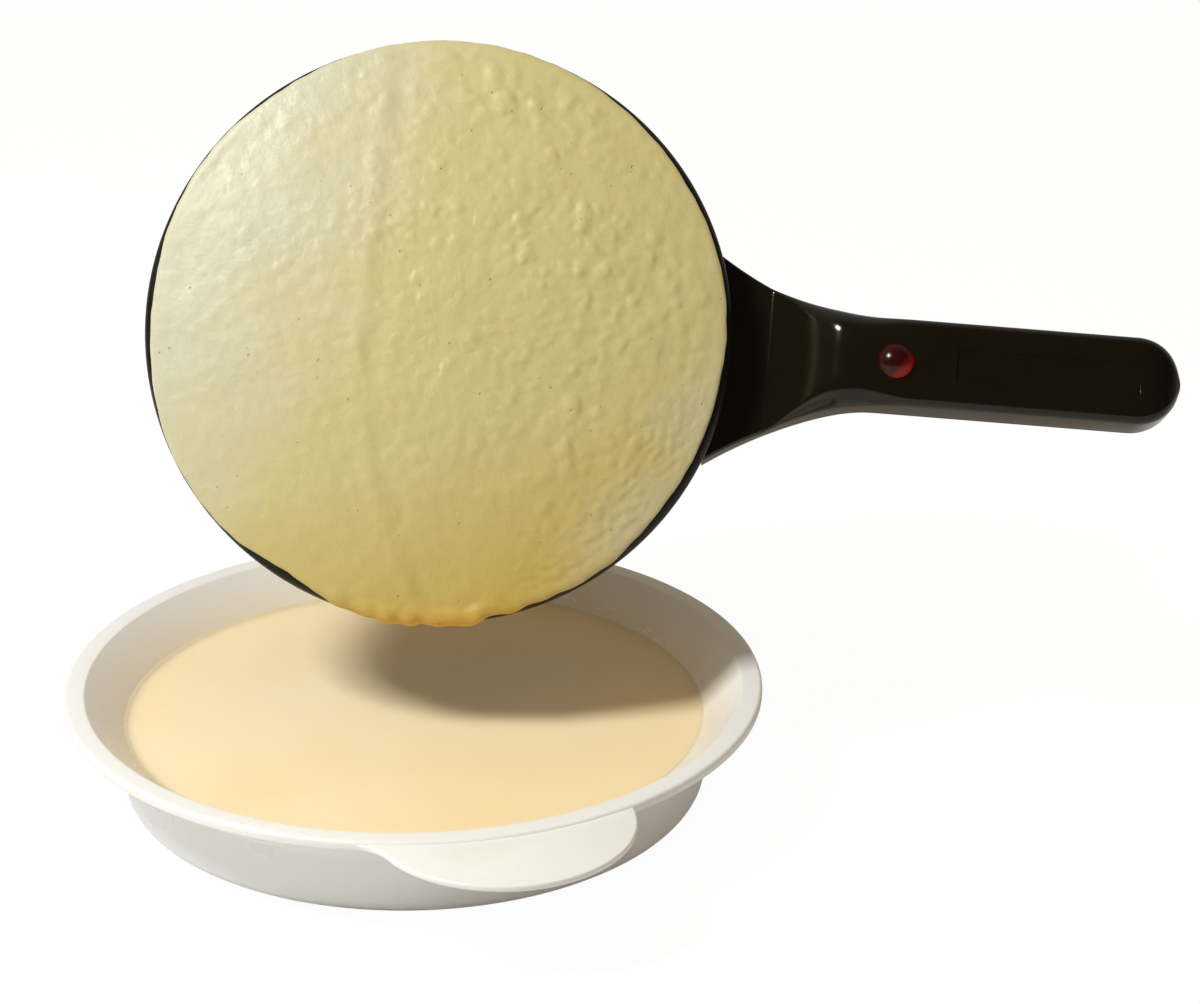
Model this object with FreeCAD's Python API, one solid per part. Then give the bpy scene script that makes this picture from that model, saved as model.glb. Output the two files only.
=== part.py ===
"""Hand-held electric crepe maker, held over its batter dish.

The dish stands on the table with batter in it. The pan is a domed, non-stick
plate heated from behind, in a closed bowl with a moulded handle. The pan is
drawn as it is held just after dipping: tilted, with a crepe baking on it.

Row frame: origin at the centre of the dish's foot, +X right along the handle,
+Y away from the viewer, +Z up. Pan frame: origin in the plane of the plate's
rim, +Z out of the plate, +X along the handle. Millimetres and degrees.
"""

import FreeCAD, Part
import math
import os

# Batter dish
DISH_FOOT_RADIUS = 97.0
DISH_FOOT_ROUND = 9.0
DISH_WALL = 2.2
DISH_WALL_RADIUS = 99.0
DISH_WALL_HEIGHT = 23.0
DISH_FLARE_ROUND = 5.0
DISH_RIM_HEIGHT = 37.8
DISH_RIM_INNER_RADIUS = 113.0
DISH_RIM_RADIUS = 120.0
DISH_LIP_DROP = 3.4
DISH_LIP_ROUND = 1.4
LUG_RADIUS = 42.5
LUG_OFFSET = 109.0
LUG_ANGLE = -72.0
LUG_STEP = 0.9
LUG_THICKNESS = 2.2
LUG_BLEND = 16.0
LUG_EDGE_ROUND = 0.9
BATTER_LEVEL = 25.0
SOFT_GAP = 0.2

# Where the pan is held
PAN_CENTRE = (9.0, 27.3, 156.1)
PAN_FACE_ELEVATION = 29.3
HANDLE_TURN = -4.5

# Cooking plate and crepe
PLATE_RADIUS = 100.0
PLATE_WALL = 3.0
PLATE_EDGE_ROLL = 4.0
PLATE_EDGE_SLOPE = 10.7
PLATE_SKIRT = 7.0
CREPE_THICKNESS = 1.3
CREPE_EDGE_INSET = 0.7
CREPE_WRAP = 35.0

# Lower housing
BOWL_TOP_RADIUS = 96.0
BOWL_WAIST_RADIUS = 95.2
BOWL_WAIST_DEPTH = 19.0
BOWL_HEEL_RADIUS = 86.0
BOWL_DEPTH = 35.0
BOWL_HEEL_ROUND = 7.0
HOUSING_WALL = 2.4
GASKET_THICKNESS = 1.5
GASKET_WIDTH = 2.6
SEAT_GAP = 0.15

# Handle
NECK_START = 86.0
NECK_TOP = -14.0
NECK_PARTING = -19.0
SLOPE_START = 113.0
SLOPE_END = 131.5
SLOPE_TOP = 5.0
GRIP_START = 139.0
GRIP_TOP = 8.0
GRIP_PARTING = -8.0
GRIP_BOTTOM = -22.0
GRIP_STRAIGHT_END = 236.0
GRIP_HALF_WIDTH = 16.0
HANDLE_EDGE_ROUND = 3.6
HANDLE_BELLY_ROUND = 7.0
COVER_DRAFT = 5.0
BELLY_DRAFT = 8.0
INSET_START = 175.5
INSET_END = 238.0
INSET_WIDTH = 11.4
INSET_DEPTH = 0.5
INSET_CORNER = 2.0

# Lamp
LAMP_X = 155.0
LENS_RADIUS = 6.0
LENS_RISE = 3.4
LENS_FLANGE = 1.6
LENS_FLANGE_HEIGHT = 1.2

# Heating
ELEMENT_RADIUS = 60.0
ELEMENT_TUBE = 6.4
ELEMENT_LEG_SPREAD = 9.0
ELEMENT_BEND = 12.0
ELEMENT_LEG_END = 78.0
COLD_PIN_DIAMETER = 2.6
COLD_PIN_LENGTH = 8.0
BEAD_DIAMETER = 5.2
BEAD_LENGTH = 4.0
SHIELD_RADIUS = 86.5
SHIELD_FLAT_RADIUS = 70.0
SHIELD_THICKNESS = 0.6
SHIELD_RISE = 4.0

# Fastening
BOSS_RADIUS = 82.0
BOSS_DIAMETER = 9.0
BOSS_ANGLES = (50.0, 130.0, 230.0, 310.0)
BOSS_END = -9.0
CLAMP_ANGLES = (90.0, 180.0, 270.0)
CLAMP_WIDTH = 10.0
CLAMP_THICKNESS = 1.2
SCREW_DIAMETER = 3.0
SCREW_HEAD_DIAMETER = 5.6
SCREW_HEAD_HEIGHT = 2.0
SCREW_PLAY = 0.1
HANDLE_SCREWS = ((107.0, 19.0), (107.0, -19.0), (190.0, 0.0), (236.0, 0.0))
HANDLE_BOSS_DIAMETER = 7.0

# Power socket in the underside
SOCKET_RADIUS = 20.0
SOCKET_WELL_RADIUS = 15.5
SOCKET_HEIGHT = 15.0
SOCKET_FLOOR = 3.0
SOCKET_FLANGE_RADIUS = 27.0
SOCKET_POST_RADIUS = 4.0
SOCKET_POST_DROP = 3.0
RING_RADIUS = 9.0
RING_HEIGHT = 5.0
RING_WALL = 1.0
SOCKET_SCREW_SPREAD = 23.5

# Thermostat, fuse, terminals and leads
STAT_POSITION = (-26.0, 0.0)
STAT_RADIUS = 8.5
STAT_HEIGHT = 6.0
STAT_CAP_HEIGHT = 4.0
FUSE_POSITION = (0.0, 30.0)
FUSE_DIAMETER = 4.0
FUSE_LENGTH = 12.0
BLOCK_X = 66.0
BLOCK_SIZE = (12.0, 26.0, 10.0)
LEAD_DIAMETER = 2.0

# Feet
FOOT_RADIUS = 5.0
FOOT_RING = 68.0
FOOT_HEIGHT = 2.5
FOOT_STAND = 1.5
FOOT_ANGLES = (45.0, 135.0, 225.0, 315.0)

PAN = FreeCAD.Placement(
    FreeCAD.Vector(*PAN_CENTRE),
    FreeCAD.Rotation(FreeCAD.Vector(1, 0, 0), 90.0 - PAN_FACE_ELEVATION),
) * FreeCAD.Placement(FreeCAD.Vector(), FreeCAD.Rotation(FreeCAD.Vector(0, 0, 1), HANDLE_TURN))


def vec(x, y, z=0.0):
    return FreeCAD.Vector(x, y, z)


def polar(radius, degrees, z=0.0):
    angle = math.radians(degrees)
    return vec(radius * math.cos(angle), radius * math.sin(angle), z)


def half_plane(radius, height):
    """A point of a profile that is turned round the Z axis."""
    return vec(radius, 0.0, height)


def arc(start, middle, end):
    return Part.Arc(start, middle, end).toShape()


def line(start, end):
    return Part.LineSegment(start, end).toShape()


def face_of(edges):
    return Part.Face(Part.Wire(edges))


def turned(corners):
    """A solid of revolution from (radius, height, rounding) corners."""
    edges = rounded_edges([half_plane(r, z) for r, z, _ in corners], [c[2] for c in corners])
    return face_of(edges).revolve(vec(0, 0), vec(0, 0, 1), 360)


def rounded_edges(points, roundings):
    """Lines through points, closed, with a tangent arc of each point's rounding."""
    count = len(points)
    starts, ends, middles = [], [], []
    for i, point in enumerate(points):
        radius = roundings[i]
        back = (points[i - 1] - point).normalize()
        ahead = (points[(i + 1) % count] - point).normalize()
        if radius <= 0:
            starts.append(point)
            ends.append(point)
            middles.append(None)
            continue
        half = back.getAngle(ahead) / 2
        bisector = (back + ahead).normalize()
        centre = point + bisector * (radius / math.sin(half))
        reach = radius / math.tan(half)
        starts.append(point + back * reach)
        ends.append(point + ahead * reach)
        middles.append(centre - bisector * radius)
    edges = []
    for i in range(count):
        if middles[i] is not None:
            edges.append(arc(starts[i], middles[i], ends[i]))
        following = starts[(i + 1) % count]
        if ends[i].distanceToPoint(following) > 1e-6:
            edges.append(line(ends[i], following))
    return edges


def rod(diameter, start, end):
    axis = end - start
    return Part.makeCylinder(diameter / 2, axis.Length, start, axis)


def ring(outer, inner, low, high):
    tube = Part.makeCylinder(outer, high - low, vec(0, 0, low))
    return tube.cut(Part.makeCylinder(inner, high - low, vec(0, 0, low)))


def bent_tube(points, diameter):
    """A round tube through points, with the largest tangent arcs that fit."""
    edges = []
    start = points[0]
    for before, corner, after in zip(points, points[1:], points[2:]):
        back = (before - corner)
        ahead = (after - corner)
        reach = 0.45 * min(back.Length, ahead.Length)
        back.normalize()
        ahead.normalize()
        half = back.getAngle(ahead) / 2
        radius = reach * math.tan(half)
        bisector = (back + ahead).normalize()
        centre = corner + bisector * (radius / math.sin(half))
        edges.append(line(start, corner + back * reach))
        edges.append(arc(corner + back * reach, centre - bisector * radius, corner + ahead * reach))
        start = corner + ahead * reach
    edges.append(line(start, points[-1]))
    return swept_circle(edges, diameter, points[1] - points[0])


def swept_circle(edges, diameter, direction):
    path = Part.Wire(edges)
    start = path.OrderedVertexes[0].Point
    section = Part.Wire(Part.Circle(start, direction, diameter / 2).toShape())
    return path.makePipeShell([section], True, True)


def screw(head, direction, length, diameter=SCREW_DIAMETER):
    """A pan-head screw: its head's top at head, its shank along direction."""
    direction = vec(*direction).normalize()
    under = head + direction * SCREW_HEAD_HEIGHT
    cap = Part.makeCylinder(SCREW_HEAD_DIAMETER / 2, SCREW_HEAD_HEIGHT, head, direction)
    shank = Part.makeCylinder(diameter / 2, length, under, direction)
    slot = Part.makeBox(SCREW_HEAD_DIAMETER, 0.7, 1.6, vec(-SCREW_HEAD_DIAMETER / 2, -0.35, -0.8))
    slot.Placement = FreeCAD.Placement(head, FreeCAD.Rotation(vec(0, 0, 1), direction))
    return cap.fuse(shank).cut(slot)


# Dish

def dish_flare_slope():
    rise = DISH_RIM_HEIGHT - DISH_WALL_HEIGHT
    return (DISH_RIM_INNER_RADIUS - DISH_WALL_RADIUS + DISH_WALL) / rise


def dish_wall_corners(grow=0.0):
    """The dish's inner wall from the flare down to the floor's edge."""
    wall = DISH_WALL_RADIUS - DISH_WALL + grow
    foot = DISH_FOOT_RADIUS - DISH_WALL + grow
    return [
        (wall, DISH_WALL_HEIGHT, DISH_FLARE_ROUND),
        (foot, DISH_WALL, DISH_FOOT_ROUND - DISH_WALL + grow),
    ]


def lug_disc(radius, low, high):
    return Part.makeCylinder(radius, high - low, polar(LUG_OFFSET, LUG_ANGLE, low))


def lug_blend():
    """The wedge that runs the lug's left side smoothly into the rim."""
    lug = polar(LUG_OFFSET, LUG_ANGLE)
    rim = vec(0, 0)
    to_lug = LUG_RADIUS + LUG_BLEND
    to_rim = DISH_RIM_RADIUS + LUG_BLEND
    between = lug.Length
    along = (to_rim ** 2 - to_lug ** 2 + between ** 2) / (2 * between)
    off = math.sqrt(to_rim ** 2 - along ** 2)
    axis = (lug - rim).normalize()
    side = vec(axis.y, -axis.x)
    centre = axis * along + side * off
    rim_touch = centre * (DISH_RIM_RADIUS / to_rim)
    lug_touch = lug + (centre - lug) * (LUG_RADIUS / to_lug)
    low = DISH_RIM_HEIGHT - LUG_STEP - LUG_THICKNESS
    inner = rim_touch * 0.95
    outline = [line(rim_touch, centre), line(centre, lug_touch), line(lug_touch, inner), line(inner, rim_touch)]
    wedge = Part.Wire(outline)
    wedge = Part.Face(wedge).extrude(vec(0, 0, LUG_THICKNESS))
    wedge = wedge.cut(Part.makeCylinder(LUG_BLEND, LUG_THICKNESS, centre))
    wedge.translate(vec(0, 0, low))
    return wedge


def batter_dish():
    lip_inner = DISH_RIM_RADIUS - DISH_WALL
    lip_low = DISH_RIM_HEIGHT - DISH_LIP_DROP
    under_rim = DISH_RIM_HEIGHT - DISH_WALL
    flare_end = DISH_WALL_RADIUS + dish_flare_slope() * (under_rim - DISH_WALL_HEIGHT)
    bowl = turned([
        (0.0, 0.0, 0.0),
        (DISH_FOOT_RADIUS, 0.0, DISH_FOOT_ROUND),
        (DISH_WALL_RADIUS, DISH_WALL_HEIGHT, DISH_FLARE_ROUND),
        (flare_end, under_rim, 0.0),
        (lip_inner, under_rim, 0.0),
        (lip_inner, lip_low, 0.0),
        (DISH_RIM_RADIUS, lip_low, 0.0),
        (DISH_RIM_RADIUS, DISH_RIM_HEIGHT, DISH_LIP_ROUND),
        (DISH_RIM_INNER_RADIUS, DISH_RIM_HEIGHT, 0.0),
    ] + dish_wall_corners() + [(0.0, DISH_WALL, 0.0)])
    lug_top = DISH_RIM_HEIGHT - LUG_STEP
    lug = lug_disc(LUG_RADIUS, lug_top - LUG_THICKNESS, lug_top)
    lug_edge = [e for e in lug.Edges if abs(e.BoundBox.ZMin - e.BoundBox.ZMax) < 1e-6]
    lug = lug.makeFillet(LUG_EDGE_ROUND, lug_edge).fuse(lug_blend())
    inside = Part.makeCylinder(DISH_RIM_RADIUS - DISH_WALL / 2, DISH_RIM_HEIGHT)
    return bowl.fuse(lug.cut(inside)).removeSplitter()


def batter():
    level = DISH_WALL_RADIUS - DISH_WALL - SOFT_GAP + dish_flare_slope() * (BATTER_LEVEL - DISH_WALL_HEIGHT)
    return turned([(0.0, BATTER_LEVEL, 0.0), (level, BATTER_LEVEL, 0.0)]
                  + dish_wall_corners(-SOFT_GAP) + [(0.0, DISH_WALL, 0.0)])


# Plate

def crown_radius():
    """The sphere of the plate's crown, tangent to its rolled edge."""
    angle = math.radians(PLATE_EDGE_SLOPE)
    touch = PLATE_RADIUS - PLATE_EDGE_ROLL + PLATE_EDGE_ROLL * math.sin(angle)
    return touch / math.sin(angle)


def crown_centre():
    angle = math.radians(PLATE_EDGE_SLOPE)
    touch = -PLATE_EDGE_ROLL + PLATE_EDGE_ROLL * math.cos(angle)
    return touch - crown_radius() * math.cos(angle)


def crown_point(offset, degrees):
    angle = math.radians(degrees)
    radius = crown_radius() + offset
    return half_plane(radius * math.sin(angle), crown_centre() + radius * math.cos(angle))


def crown_height(radius, offset=0.0):
    """Height of the crown, or of a surface offset from it, at a radius."""
    return crown_centre() + math.sqrt((crown_radius() + offset) ** 2 - radius ** 2)


def roll_point(offset, degrees):
    """A point beside the plate's rolled edge, degrees down from straight up."""
    angle = math.radians(degrees)
    reach = PLATE_EDGE_ROLL + offset
    centre = PLATE_RADIUS - PLATE_EDGE_ROLL
    return half_plane(centre + reach * math.sin(angle), -PLATE_EDGE_ROLL + reach * math.cos(angle))


def plate_outline(offset, end_angle):
    """The crown and rolled edge from the middle outwards, offset outwards."""
    slope = PLATE_EDGE_SLOPE
    halfway = (slope + end_angle) / 2
    return [
        arc(crown_point(offset, 0), crown_point(offset, slope / 2), crown_point(offset, slope)),
        arc(roll_point(offset, slope), roll_point(offset, halfway), roll_point(offset, end_angle)),
    ]


def plate_bosses():
    """Posts cast under the plate, each with a pilot hole for its screw."""
    posts, holes = [], []
    for angle in BOSS_ANGLES:
        top = crown_height(BOSS_RADIUS, -PLATE_WALL) + 0.6
        low = polar(BOSS_RADIUS, angle, BOSS_END)
        posts.append(rod(BOSS_DIAMETER, low, polar(BOSS_RADIUS, angle, top)))
        holes.append(rod(SCREW_DIAMETER + SCREW_PLAY, low, polar(BOSS_RADIUS, angle, -1.5)))
    for angle in CLAMP_ANGLES:
        radius = clamp_screw_radius()
        top = crown_height(radius, -PLATE_WALL) + 0.4
        low = polar(radius, angle, clamp_seat())
        posts.append(rod(BOSS_DIAMETER - 2, low, polar(radius, angle, top)))
        holes.append(rod(SCREW_DIAMETER + SCREW_PLAY, low, polar(radius, angle, clamp_seat() + 5.0)))
    top = crown_height(0, -PLATE_WALL)
    holes.append(rod(SCREW_DIAMETER + SCREW_PLAY, stat_screw_point(stat_seat()), stat_screw_point(top - 0.5)))
    posts.append(rod(BOSS_DIAMETER - 2, stat_screw_point(stat_seat()), stat_screw_point(top)))
    posts.append(Part.makeCylinder(STAT_RADIUS, top - stat_seat(), stat_centre(stat_seat())))
    return posts, holes


def cooking_plate():
    outside = plate_outline(0, 90)
    inside = plate_outline(-PLATE_WALL, 90)
    skirt_out = half_plane(PLATE_RADIUS, -PLATE_SKIRT)
    skirt_in = half_plane(PLATE_RADIUS - PLATE_WALL, -PLATE_SKIRT)
    edges = outside + [line(roll_point(0, 90), skirt_out), line(skirt_out, skirt_in)]
    edges += [line(skirt_in, roll_point(-PLATE_WALL, 90))] + inside[::-1]
    edges.append(line(crown_point(-PLATE_WALL, 0), crown_point(0, 0)))
    shell = face_of(edges).revolve(vec(0, 0), vec(0, 0, 1), 360)
    crown = face_of(plate_outline(-PLATE_WALL / 2, 90) + [
        line(roll_point(-PLATE_WALL / 2, 90), half_plane(PLATE_RADIUS - PLATE_WALL / 2, -60)),
        line(half_plane(PLATE_RADIUS - PLATE_WALL / 2, -60), half_plane(0, -60)),
        line(half_plane(0, -60), crown_point(-PLATE_WALL / 2, 0)),
    ]).revolve(vec(0, 0), vec(0, 0, 1), 360)
    posts, holes = plate_bosses()
    posts = [post.common(crown) for post in posts + [element_seat()]]
    return shell.fuse(posts).cut(holes).removeSplitter()


def crepe():
    low = SOFT_GAP / 2
    high = low + CREPE_THICKNESS
    edge = CREPE_WRAP
    below = plate_outline(low, edge)
    above = plate_outline(high, edge)
    rim = arc(roll_point(low, edge),
              roll_point((low + high) / 2, edge + math.degrees(CREPE_EDGE_INSET / PLATE_EDGE_ROLL)),
              roll_point(high, edge))
    edges = below + [rim] + above[::-1] + [line(crown_point(high, 0), crown_point(low, 0))]
    return face_of(edges).revolve(vec(0, 0), vec(0, 0, 1), 360)


# Heating

def element_height():
    """The element's axis, low enough for its straight ends to clear the plate."""
    reach = math.hypot(ELEMENT_LEG_END + BEAD_LENGTH, ELEMENT_LEG_SPREAD)
    return crown_height(reach, -PLATE_WALL) - ELEMENT_TUBE / 2 - SEAT_GAP


def element_seat():
    """The ridge cast under the plate that the element bears on."""
    half = ELEMENT_TUBE / 2
    low = element_height() + half + SEAT_GAP
    high = crown_height(ELEMENT_RADIUS - half, -PLATE_WALL)
    return ring(ELEMENT_RADIUS + half, ELEMENT_RADIUS - half, low, high)


def heating_element():
    """A sheathed tube round the plate, both ends bent out towards the neck."""
    z = element_height()
    turn = math.degrees(math.asin((ELEMENT_LEG_SPREAD + ELEMENT_BEND) / (ELEMENT_RADIUS + ELEMENT_BEND)))
    bend = polar(ELEMENT_RADIUS + ELEMENT_BEND, turn, z)

    def bend_point(degrees):
        return bend + polar(ELEMENT_BEND, degrees)

    upper = [bend_point(270), bend_point((270 + turn + 180) / 2), polar(ELEMENT_RADIUS, turn, z)]
    leg_end = vec(ELEMENT_LEG_END, ELEMENT_LEG_SPREAD, z)

    def mirrored(point):
        return vec(point.x, -point.y, point.z)

    lower = [mirrored(point) for point in upper]
    edges = [
        line(leg_end, upper[0]),
        arc(*upper),
        arc(upper[2], polar(ELEMENT_RADIUS, 90 + turn / 2, z), polar(ELEMENT_RADIUS, 180, z)),
        arc(polar(ELEMENT_RADIUS, 180, z), polar(ELEMENT_RADIUS, 270 - turn / 2, z), lower[2]),
        arc(*lower[::-1]),
        line(lower[0], mirrored(leg_end)),
    ]
    return swept_circle(edges, ELEMENT_TUBE, vec(-1, 0, 0))


def leg_ends(x):
    return [vec(x, side * ELEMENT_LEG_SPREAD, element_height()) for side in (1, -1)]


def terminal_insulators():
    beads = []
    for start in leg_ends(ELEMENT_LEG_END):
        bead = rod(BEAD_DIAMETER, start, start + vec(BEAD_LENGTH, 0))
        beads.append(bead.cut(rod(COLD_PIN_DIAMETER, start, start + vec(BEAD_LENGTH, 0))))
    return beads


def cold_pins():
    return [rod(COLD_PIN_DIAMETER, start, start + vec(COLD_PIN_LENGTH, 0)) for start in leg_ends(ELEMENT_LEG_END)]


def clamp_screw_radius():
    return ELEMENT_RADIUS - ELEMENT_TUBE / 2 - BOSS_DIAMETER / 2 - 0.5


def clamp_seat():
    """Height of the posts that the straps are screwed to."""
    return element_height() - 0.5


def clamp_straps():
    """Bent straps that hold the element up against the plate."""
    straps = []
    tube_low = element_height() - ELEMENT_TUBE / 2
    inner = clamp_screw_radius() - BOSS_DIAMETER / 2
    bend = ELEMENT_RADIUS - ELEMENT_TUBE / 2 - 0.3
    outer = ELEMENT_RADIUS + ELEMENT_TUBE / 2
    low = tube_low - SEAT_GAP
    seat = clamp_seat()
    thick = CLAMP_THICKNESS
    profile = [(inner, seat), (bend - thick / 2, seat), (bend, low), (outer, low),
               (outer, low - thick), (bend - thick, low - thick), (bend - thick * 1.5, seat - thick),
               (inner, seat - thick)]
    corners = [vec(x, -CLAMP_WIDTH / 2, z) for x, z in profile]
    strap = Part.Face(Part.makePolygon(corners + corners[:1])).extrude(vec(0, CLAMP_WIDTH, 0))
    hole = rod(SCREW_DIAMETER + 2 * SCREW_PLAY, vec(clamp_screw_radius(), 0, low - 5), vec(clamp_screw_radius(), 0, 5))
    strap = strap.cut(hole)
    for angle in CLAMP_ANGLES:
        copy = strap.copy()
        copy.rotate(vec(0, 0), vec(0, 0, 1), angle)
        straps.append(copy)
    return straps


def clamp_screws():
    screws = []
    for angle in CLAMP_ANGLES:
        head = polar(clamp_screw_radius(), angle, clamp_seat() - CLAMP_THICKNESS - SCREW_HEAD_HEIGHT)
        screws.append(screw(head, (0, 0, 1), 4.5))
    return screws


def heat_shield():
    """A thin spun dish behind the element, its rim clamped by the bosses."""
    t = SHIELD_THICKNESS
    rim = BOSS_END
    step = rim - SHIELD_RISE
    flat = SHIELD_FLAT_RADIUS
    shoulder = flat + SHIELD_RISE
    shield = turned([
        (0.0, step - t, 0.0),
        (flat, step - t, 0.0),
        (shoulder, rim - t, 0.0),
        (SHIELD_RADIUS, rim - t, 0.0),
        (SHIELD_RADIUS, rim, 0.0),
        (shoulder - t / 2, rim, 0.0),
        (flat - t / 2, step, 0.0),
        (0.0, step, 0.0),
    ])
    holes = []
    for angle in BOSS_ANGLES:
        below = polar(BOSS_RADIUS, angle, rim - SHIELD_RISE)
        above = polar(BOSS_RADIUS, angle, rim + SHIELD_RISE)
        holes.append(rod(SCREW_DIAMETER + 2 * SCREW_PLAY, below, above))
    below = -BOWL_DEPTH
    window = Part.makeCylinder(STAT_RADIUS + 8, BOWL_DEPTH, stat_centre(below))
    half = ELEMENT_LEG_SPREAD + 6
    lead_slot = Part.makeBox(24, 2 * half, BOWL_DEPTH, vec(ELEMENT_LEG_END - 8, -half, below))
    fuse_hole = Part.makeCylinder(3.0, BOWL_DEPTH, vec(FUSE_POSITION[0] + FUSE_LENGTH, FUSE_POSITION[1], below))
    return shield.cut(holes + [window, lead_slot, fuse_hole])


# Thermostat and thermal fuse

def stat_seat():
    return crown_height(0, -PLATE_WALL) - 3.0


def stat_screw_point(z):
    return vec(STAT_POSITION[0], STAT_POSITION[1] + STAT_RADIUS + BOSS_DIAMETER / 2, z)


def stat_centre(z):
    return vec(STAT_POSITION[0], STAT_POSITION[1], z)


def thermostat_cup():
    """The metal cup that touches the plate, with its mounting ear."""
    top = stat_seat()
    cup = Part.makeCylinder(STAT_RADIUS, STAT_HEIGHT, stat_centre(top - STAT_HEIGHT))
    hollow = Part.makeCylinder(STAT_RADIUS - 0.6, STAT_HEIGHT - 0.6, stat_centre(top - STAT_HEIGHT))
    ear = Part.makeBox(BOSS_DIAMETER, STAT_RADIUS + BOSS_DIAMETER, 0.8,
                       vec(STAT_POSITION[0] - BOSS_DIAMETER / 2, STAT_POSITION[1], top - 0.8))
    ear_hole = rod(SCREW_DIAMETER + 2 * SCREW_PLAY, stat_screw_point(top - 2), stat_screw_point(top + 2))
    return cup.fuse(ear).cut(hollow).cut(ear_hole)


def thermostat_body():
    """The switch's ceramic body, which closes the cup."""
    top = stat_seat() - 0.6
    inside = Part.makeCylinder(STAT_RADIUS - 0.6, STAT_HEIGHT - 1.6, stat_centre(top - STAT_HEIGHT + 0.6))
    base_low = top - STAT_HEIGHT + 0.6 - STAT_CAP_HEIGHT
    base = Part.makeCylinder(STAT_RADIUS - 1.2, STAT_CAP_HEIGHT, stat_centre(base_low))
    return inside.fuse(base)


def thermostat_disc():
    """The snap disc between the cup and the body."""
    low = stat_seat() - 1.6
    return Part.makeCylinder(STAT_RADIUS - 1.0, 0.4, stat_centre(low + 0.3))


def stat_base():
    return stat_seat() - STAT_HEIGHT - STAT_CAP_HEIGHT


def thermostat_tabs():
    tabs = []
    for side in (1, -1):
        corner = vec(STAT_POSITION[0] + side * 4.0 - 0.4, STAT_POSITION[1] - 2.4, stat_base() - 6.0)
        tabs.append(Part.makeBox(0.8, 4.8, 6.0, corner))
    return tabs


def thermostat_screw():
    head = stat_screw_point(stat_seat() - 0.8 - SCREW_HEAD_HEIGHT)
    return screw(head, (0, 0, 1), 3.0)


def fuse_axis_height():
    return crown_height(FUSE_POSITION[1], -PLATE_WALL) - FUSE_DIAMETER / 2 - 0.6


def thermal_fuse():
    z = fuse_axis_height()
    start = vec(FUSE_POSITION[0] - FUSE_LENGTH / 2, FUSE_POSITION[1], z)
    end = start + vec(FUSE_LENGTH, 0)
    body = rod(FUSE_DIAMETER, start, end)
    pins = rod(1.0, start - vec(5, 0), end + vec(5, 0))
    return body.fuse(pins)


def fuse_clip():
    """A sprung band round the fuse, against the plate."""
    z = fuse_axis_height()
    width = 5.0
    start = vec(FUSE_POSITION[0] - width / 2, FUSE_POSITION[1], z)
    band = rod(FUSE_DIAMETER + 1.0, start, start + vec(width, 0))
    return band.cut(rod(FUSE_DIAMETER + 2 * 0.02, start, start + vec(width, 0)))


# Lower housing and handle

def smooth_step(x, low, high):
    share = min(1.0, max(0.0, (x - low) / (high - low)))
    return share * share * (3 - 2 * share)


def handle_half_width(x):
    """Half the handle's width at its parting line, a curve into the grip."""
    flare = max(0.0, (GRIP_START + 12.0 - x) / (GRIP_START + 12.0 - NECK_START))
    return GRIP_HALF_WIDTH + 25.5 * flare ** 1.9


def handle_parting(x):
    return NECK_PARTING + (GRIP_PARTING - NECK_PARTING) * smooth_step(x, SLOPE_START - 4, GRIP_START + 6)


def handle_top(x):
    if x <= SLOPE_START:
        return NECK_TOP
    if x <= SLOPE_END:
        return NECK_TOP + (SLOPE_TOP - NECK_TOP) * (x - SLOPE_START) / (SLOPE_END - SLOPE_START)
    if x <= GRIP_START:
        share = (x - SLOPE_END) / (GRIP_START - SLOPE_END)
        return GRIP_TOP - (GRIP_TOP - SLOPE_TOP) * (1 - share) ** 2
    return GRIP_TOP


def handle_bottom(x):
    return -BOWL_DEPTH + 1.0 + (GRIP_BOTTOM + BOWL_DEPTH - 1.0) * smooth_step(x, NECK_START, GRIP_START + 14)


def end_share(x):
    """How far along the rounded end x lies: 0 at its start, 1 at its tip."""
    return max(0.0, x - GRIP_STRAIGHT_END) / GRIP_HALF_WIDTH


def handle_section(x, inset, upper):
    """One cross-section of the handle's upper or lower half, as a wire."""
    share = end_share(x)
    round_in = math.sqrt(max(0.0, 1 - share * share))
    parting = handle_parting(x)
    limit = handle_top(x) if upper else handle_bottom(x)
    limit = parting + (limit - parting) * (1 - 0.45 * share ** 3)
    limit = limit - inset if upper else limit + inset
    height = abs(limit - parting)
    draft = math.tan(math.radians(COVER_DRAFT if upper else BELLY_DRAFT))
    at_parting = handle_half_width(x) * round_in - inset
    at_limit = at_parting - height * draft * round_in
    rounding = HANDLE_EDGE_ROUND if upper else HANDLE_BELLY_ROUND
    rounding = max(0.4, min(rounding - inset, height * 0.8, at_limit * 0.8))
    points = [vec(x, -at_parting, parting), vec(x, -at_limit, limit), vec(x, at_limit, limit),
              vec(x, at_parting, parting)]
    return Part.Wire(rounded_edges(points, [0.0, rounding, rounding, 0.0]))


def stations(low, high, count):
    return [low + (high - low) * i / (count - 1) for i in range(count)]


def handle_solid(inset, upper):
    """The handle's upper or lower half, lofted along its length in spans."""
    end_inset = inset * 1.0
    tip = GRIP_STRAIGHT_END + (GRIP_HALF_WIDTH - end_inset) * 0.995
    end_shares = (0.0, 0.3, 0.55, 0.75, 0.9, 0.97, 1.0)
    spans = [
        stations(NECK_START - 8, SLOPE_START, 7),
        stations(SLOPE_START, SLOPE_END, 4),
        stations(SLOPE_END, GRIP_START + 14, 5),
        [GRIP_START + 14, INSET_START, GRIP_STRAIGHT_END],
        [GRIP_STRAIGHT_END + (tip - GRIP_STRAIGHT_END) * share for share in end_shares],
    ]
    pieces = []
    for span in spans:
        wires = [handle_section(x, inset, upper) for x in span]
        pieces.append(Part.makeLoft(wires, True, True))
    return pieces[0].fuse(pieces[1:])


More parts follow.
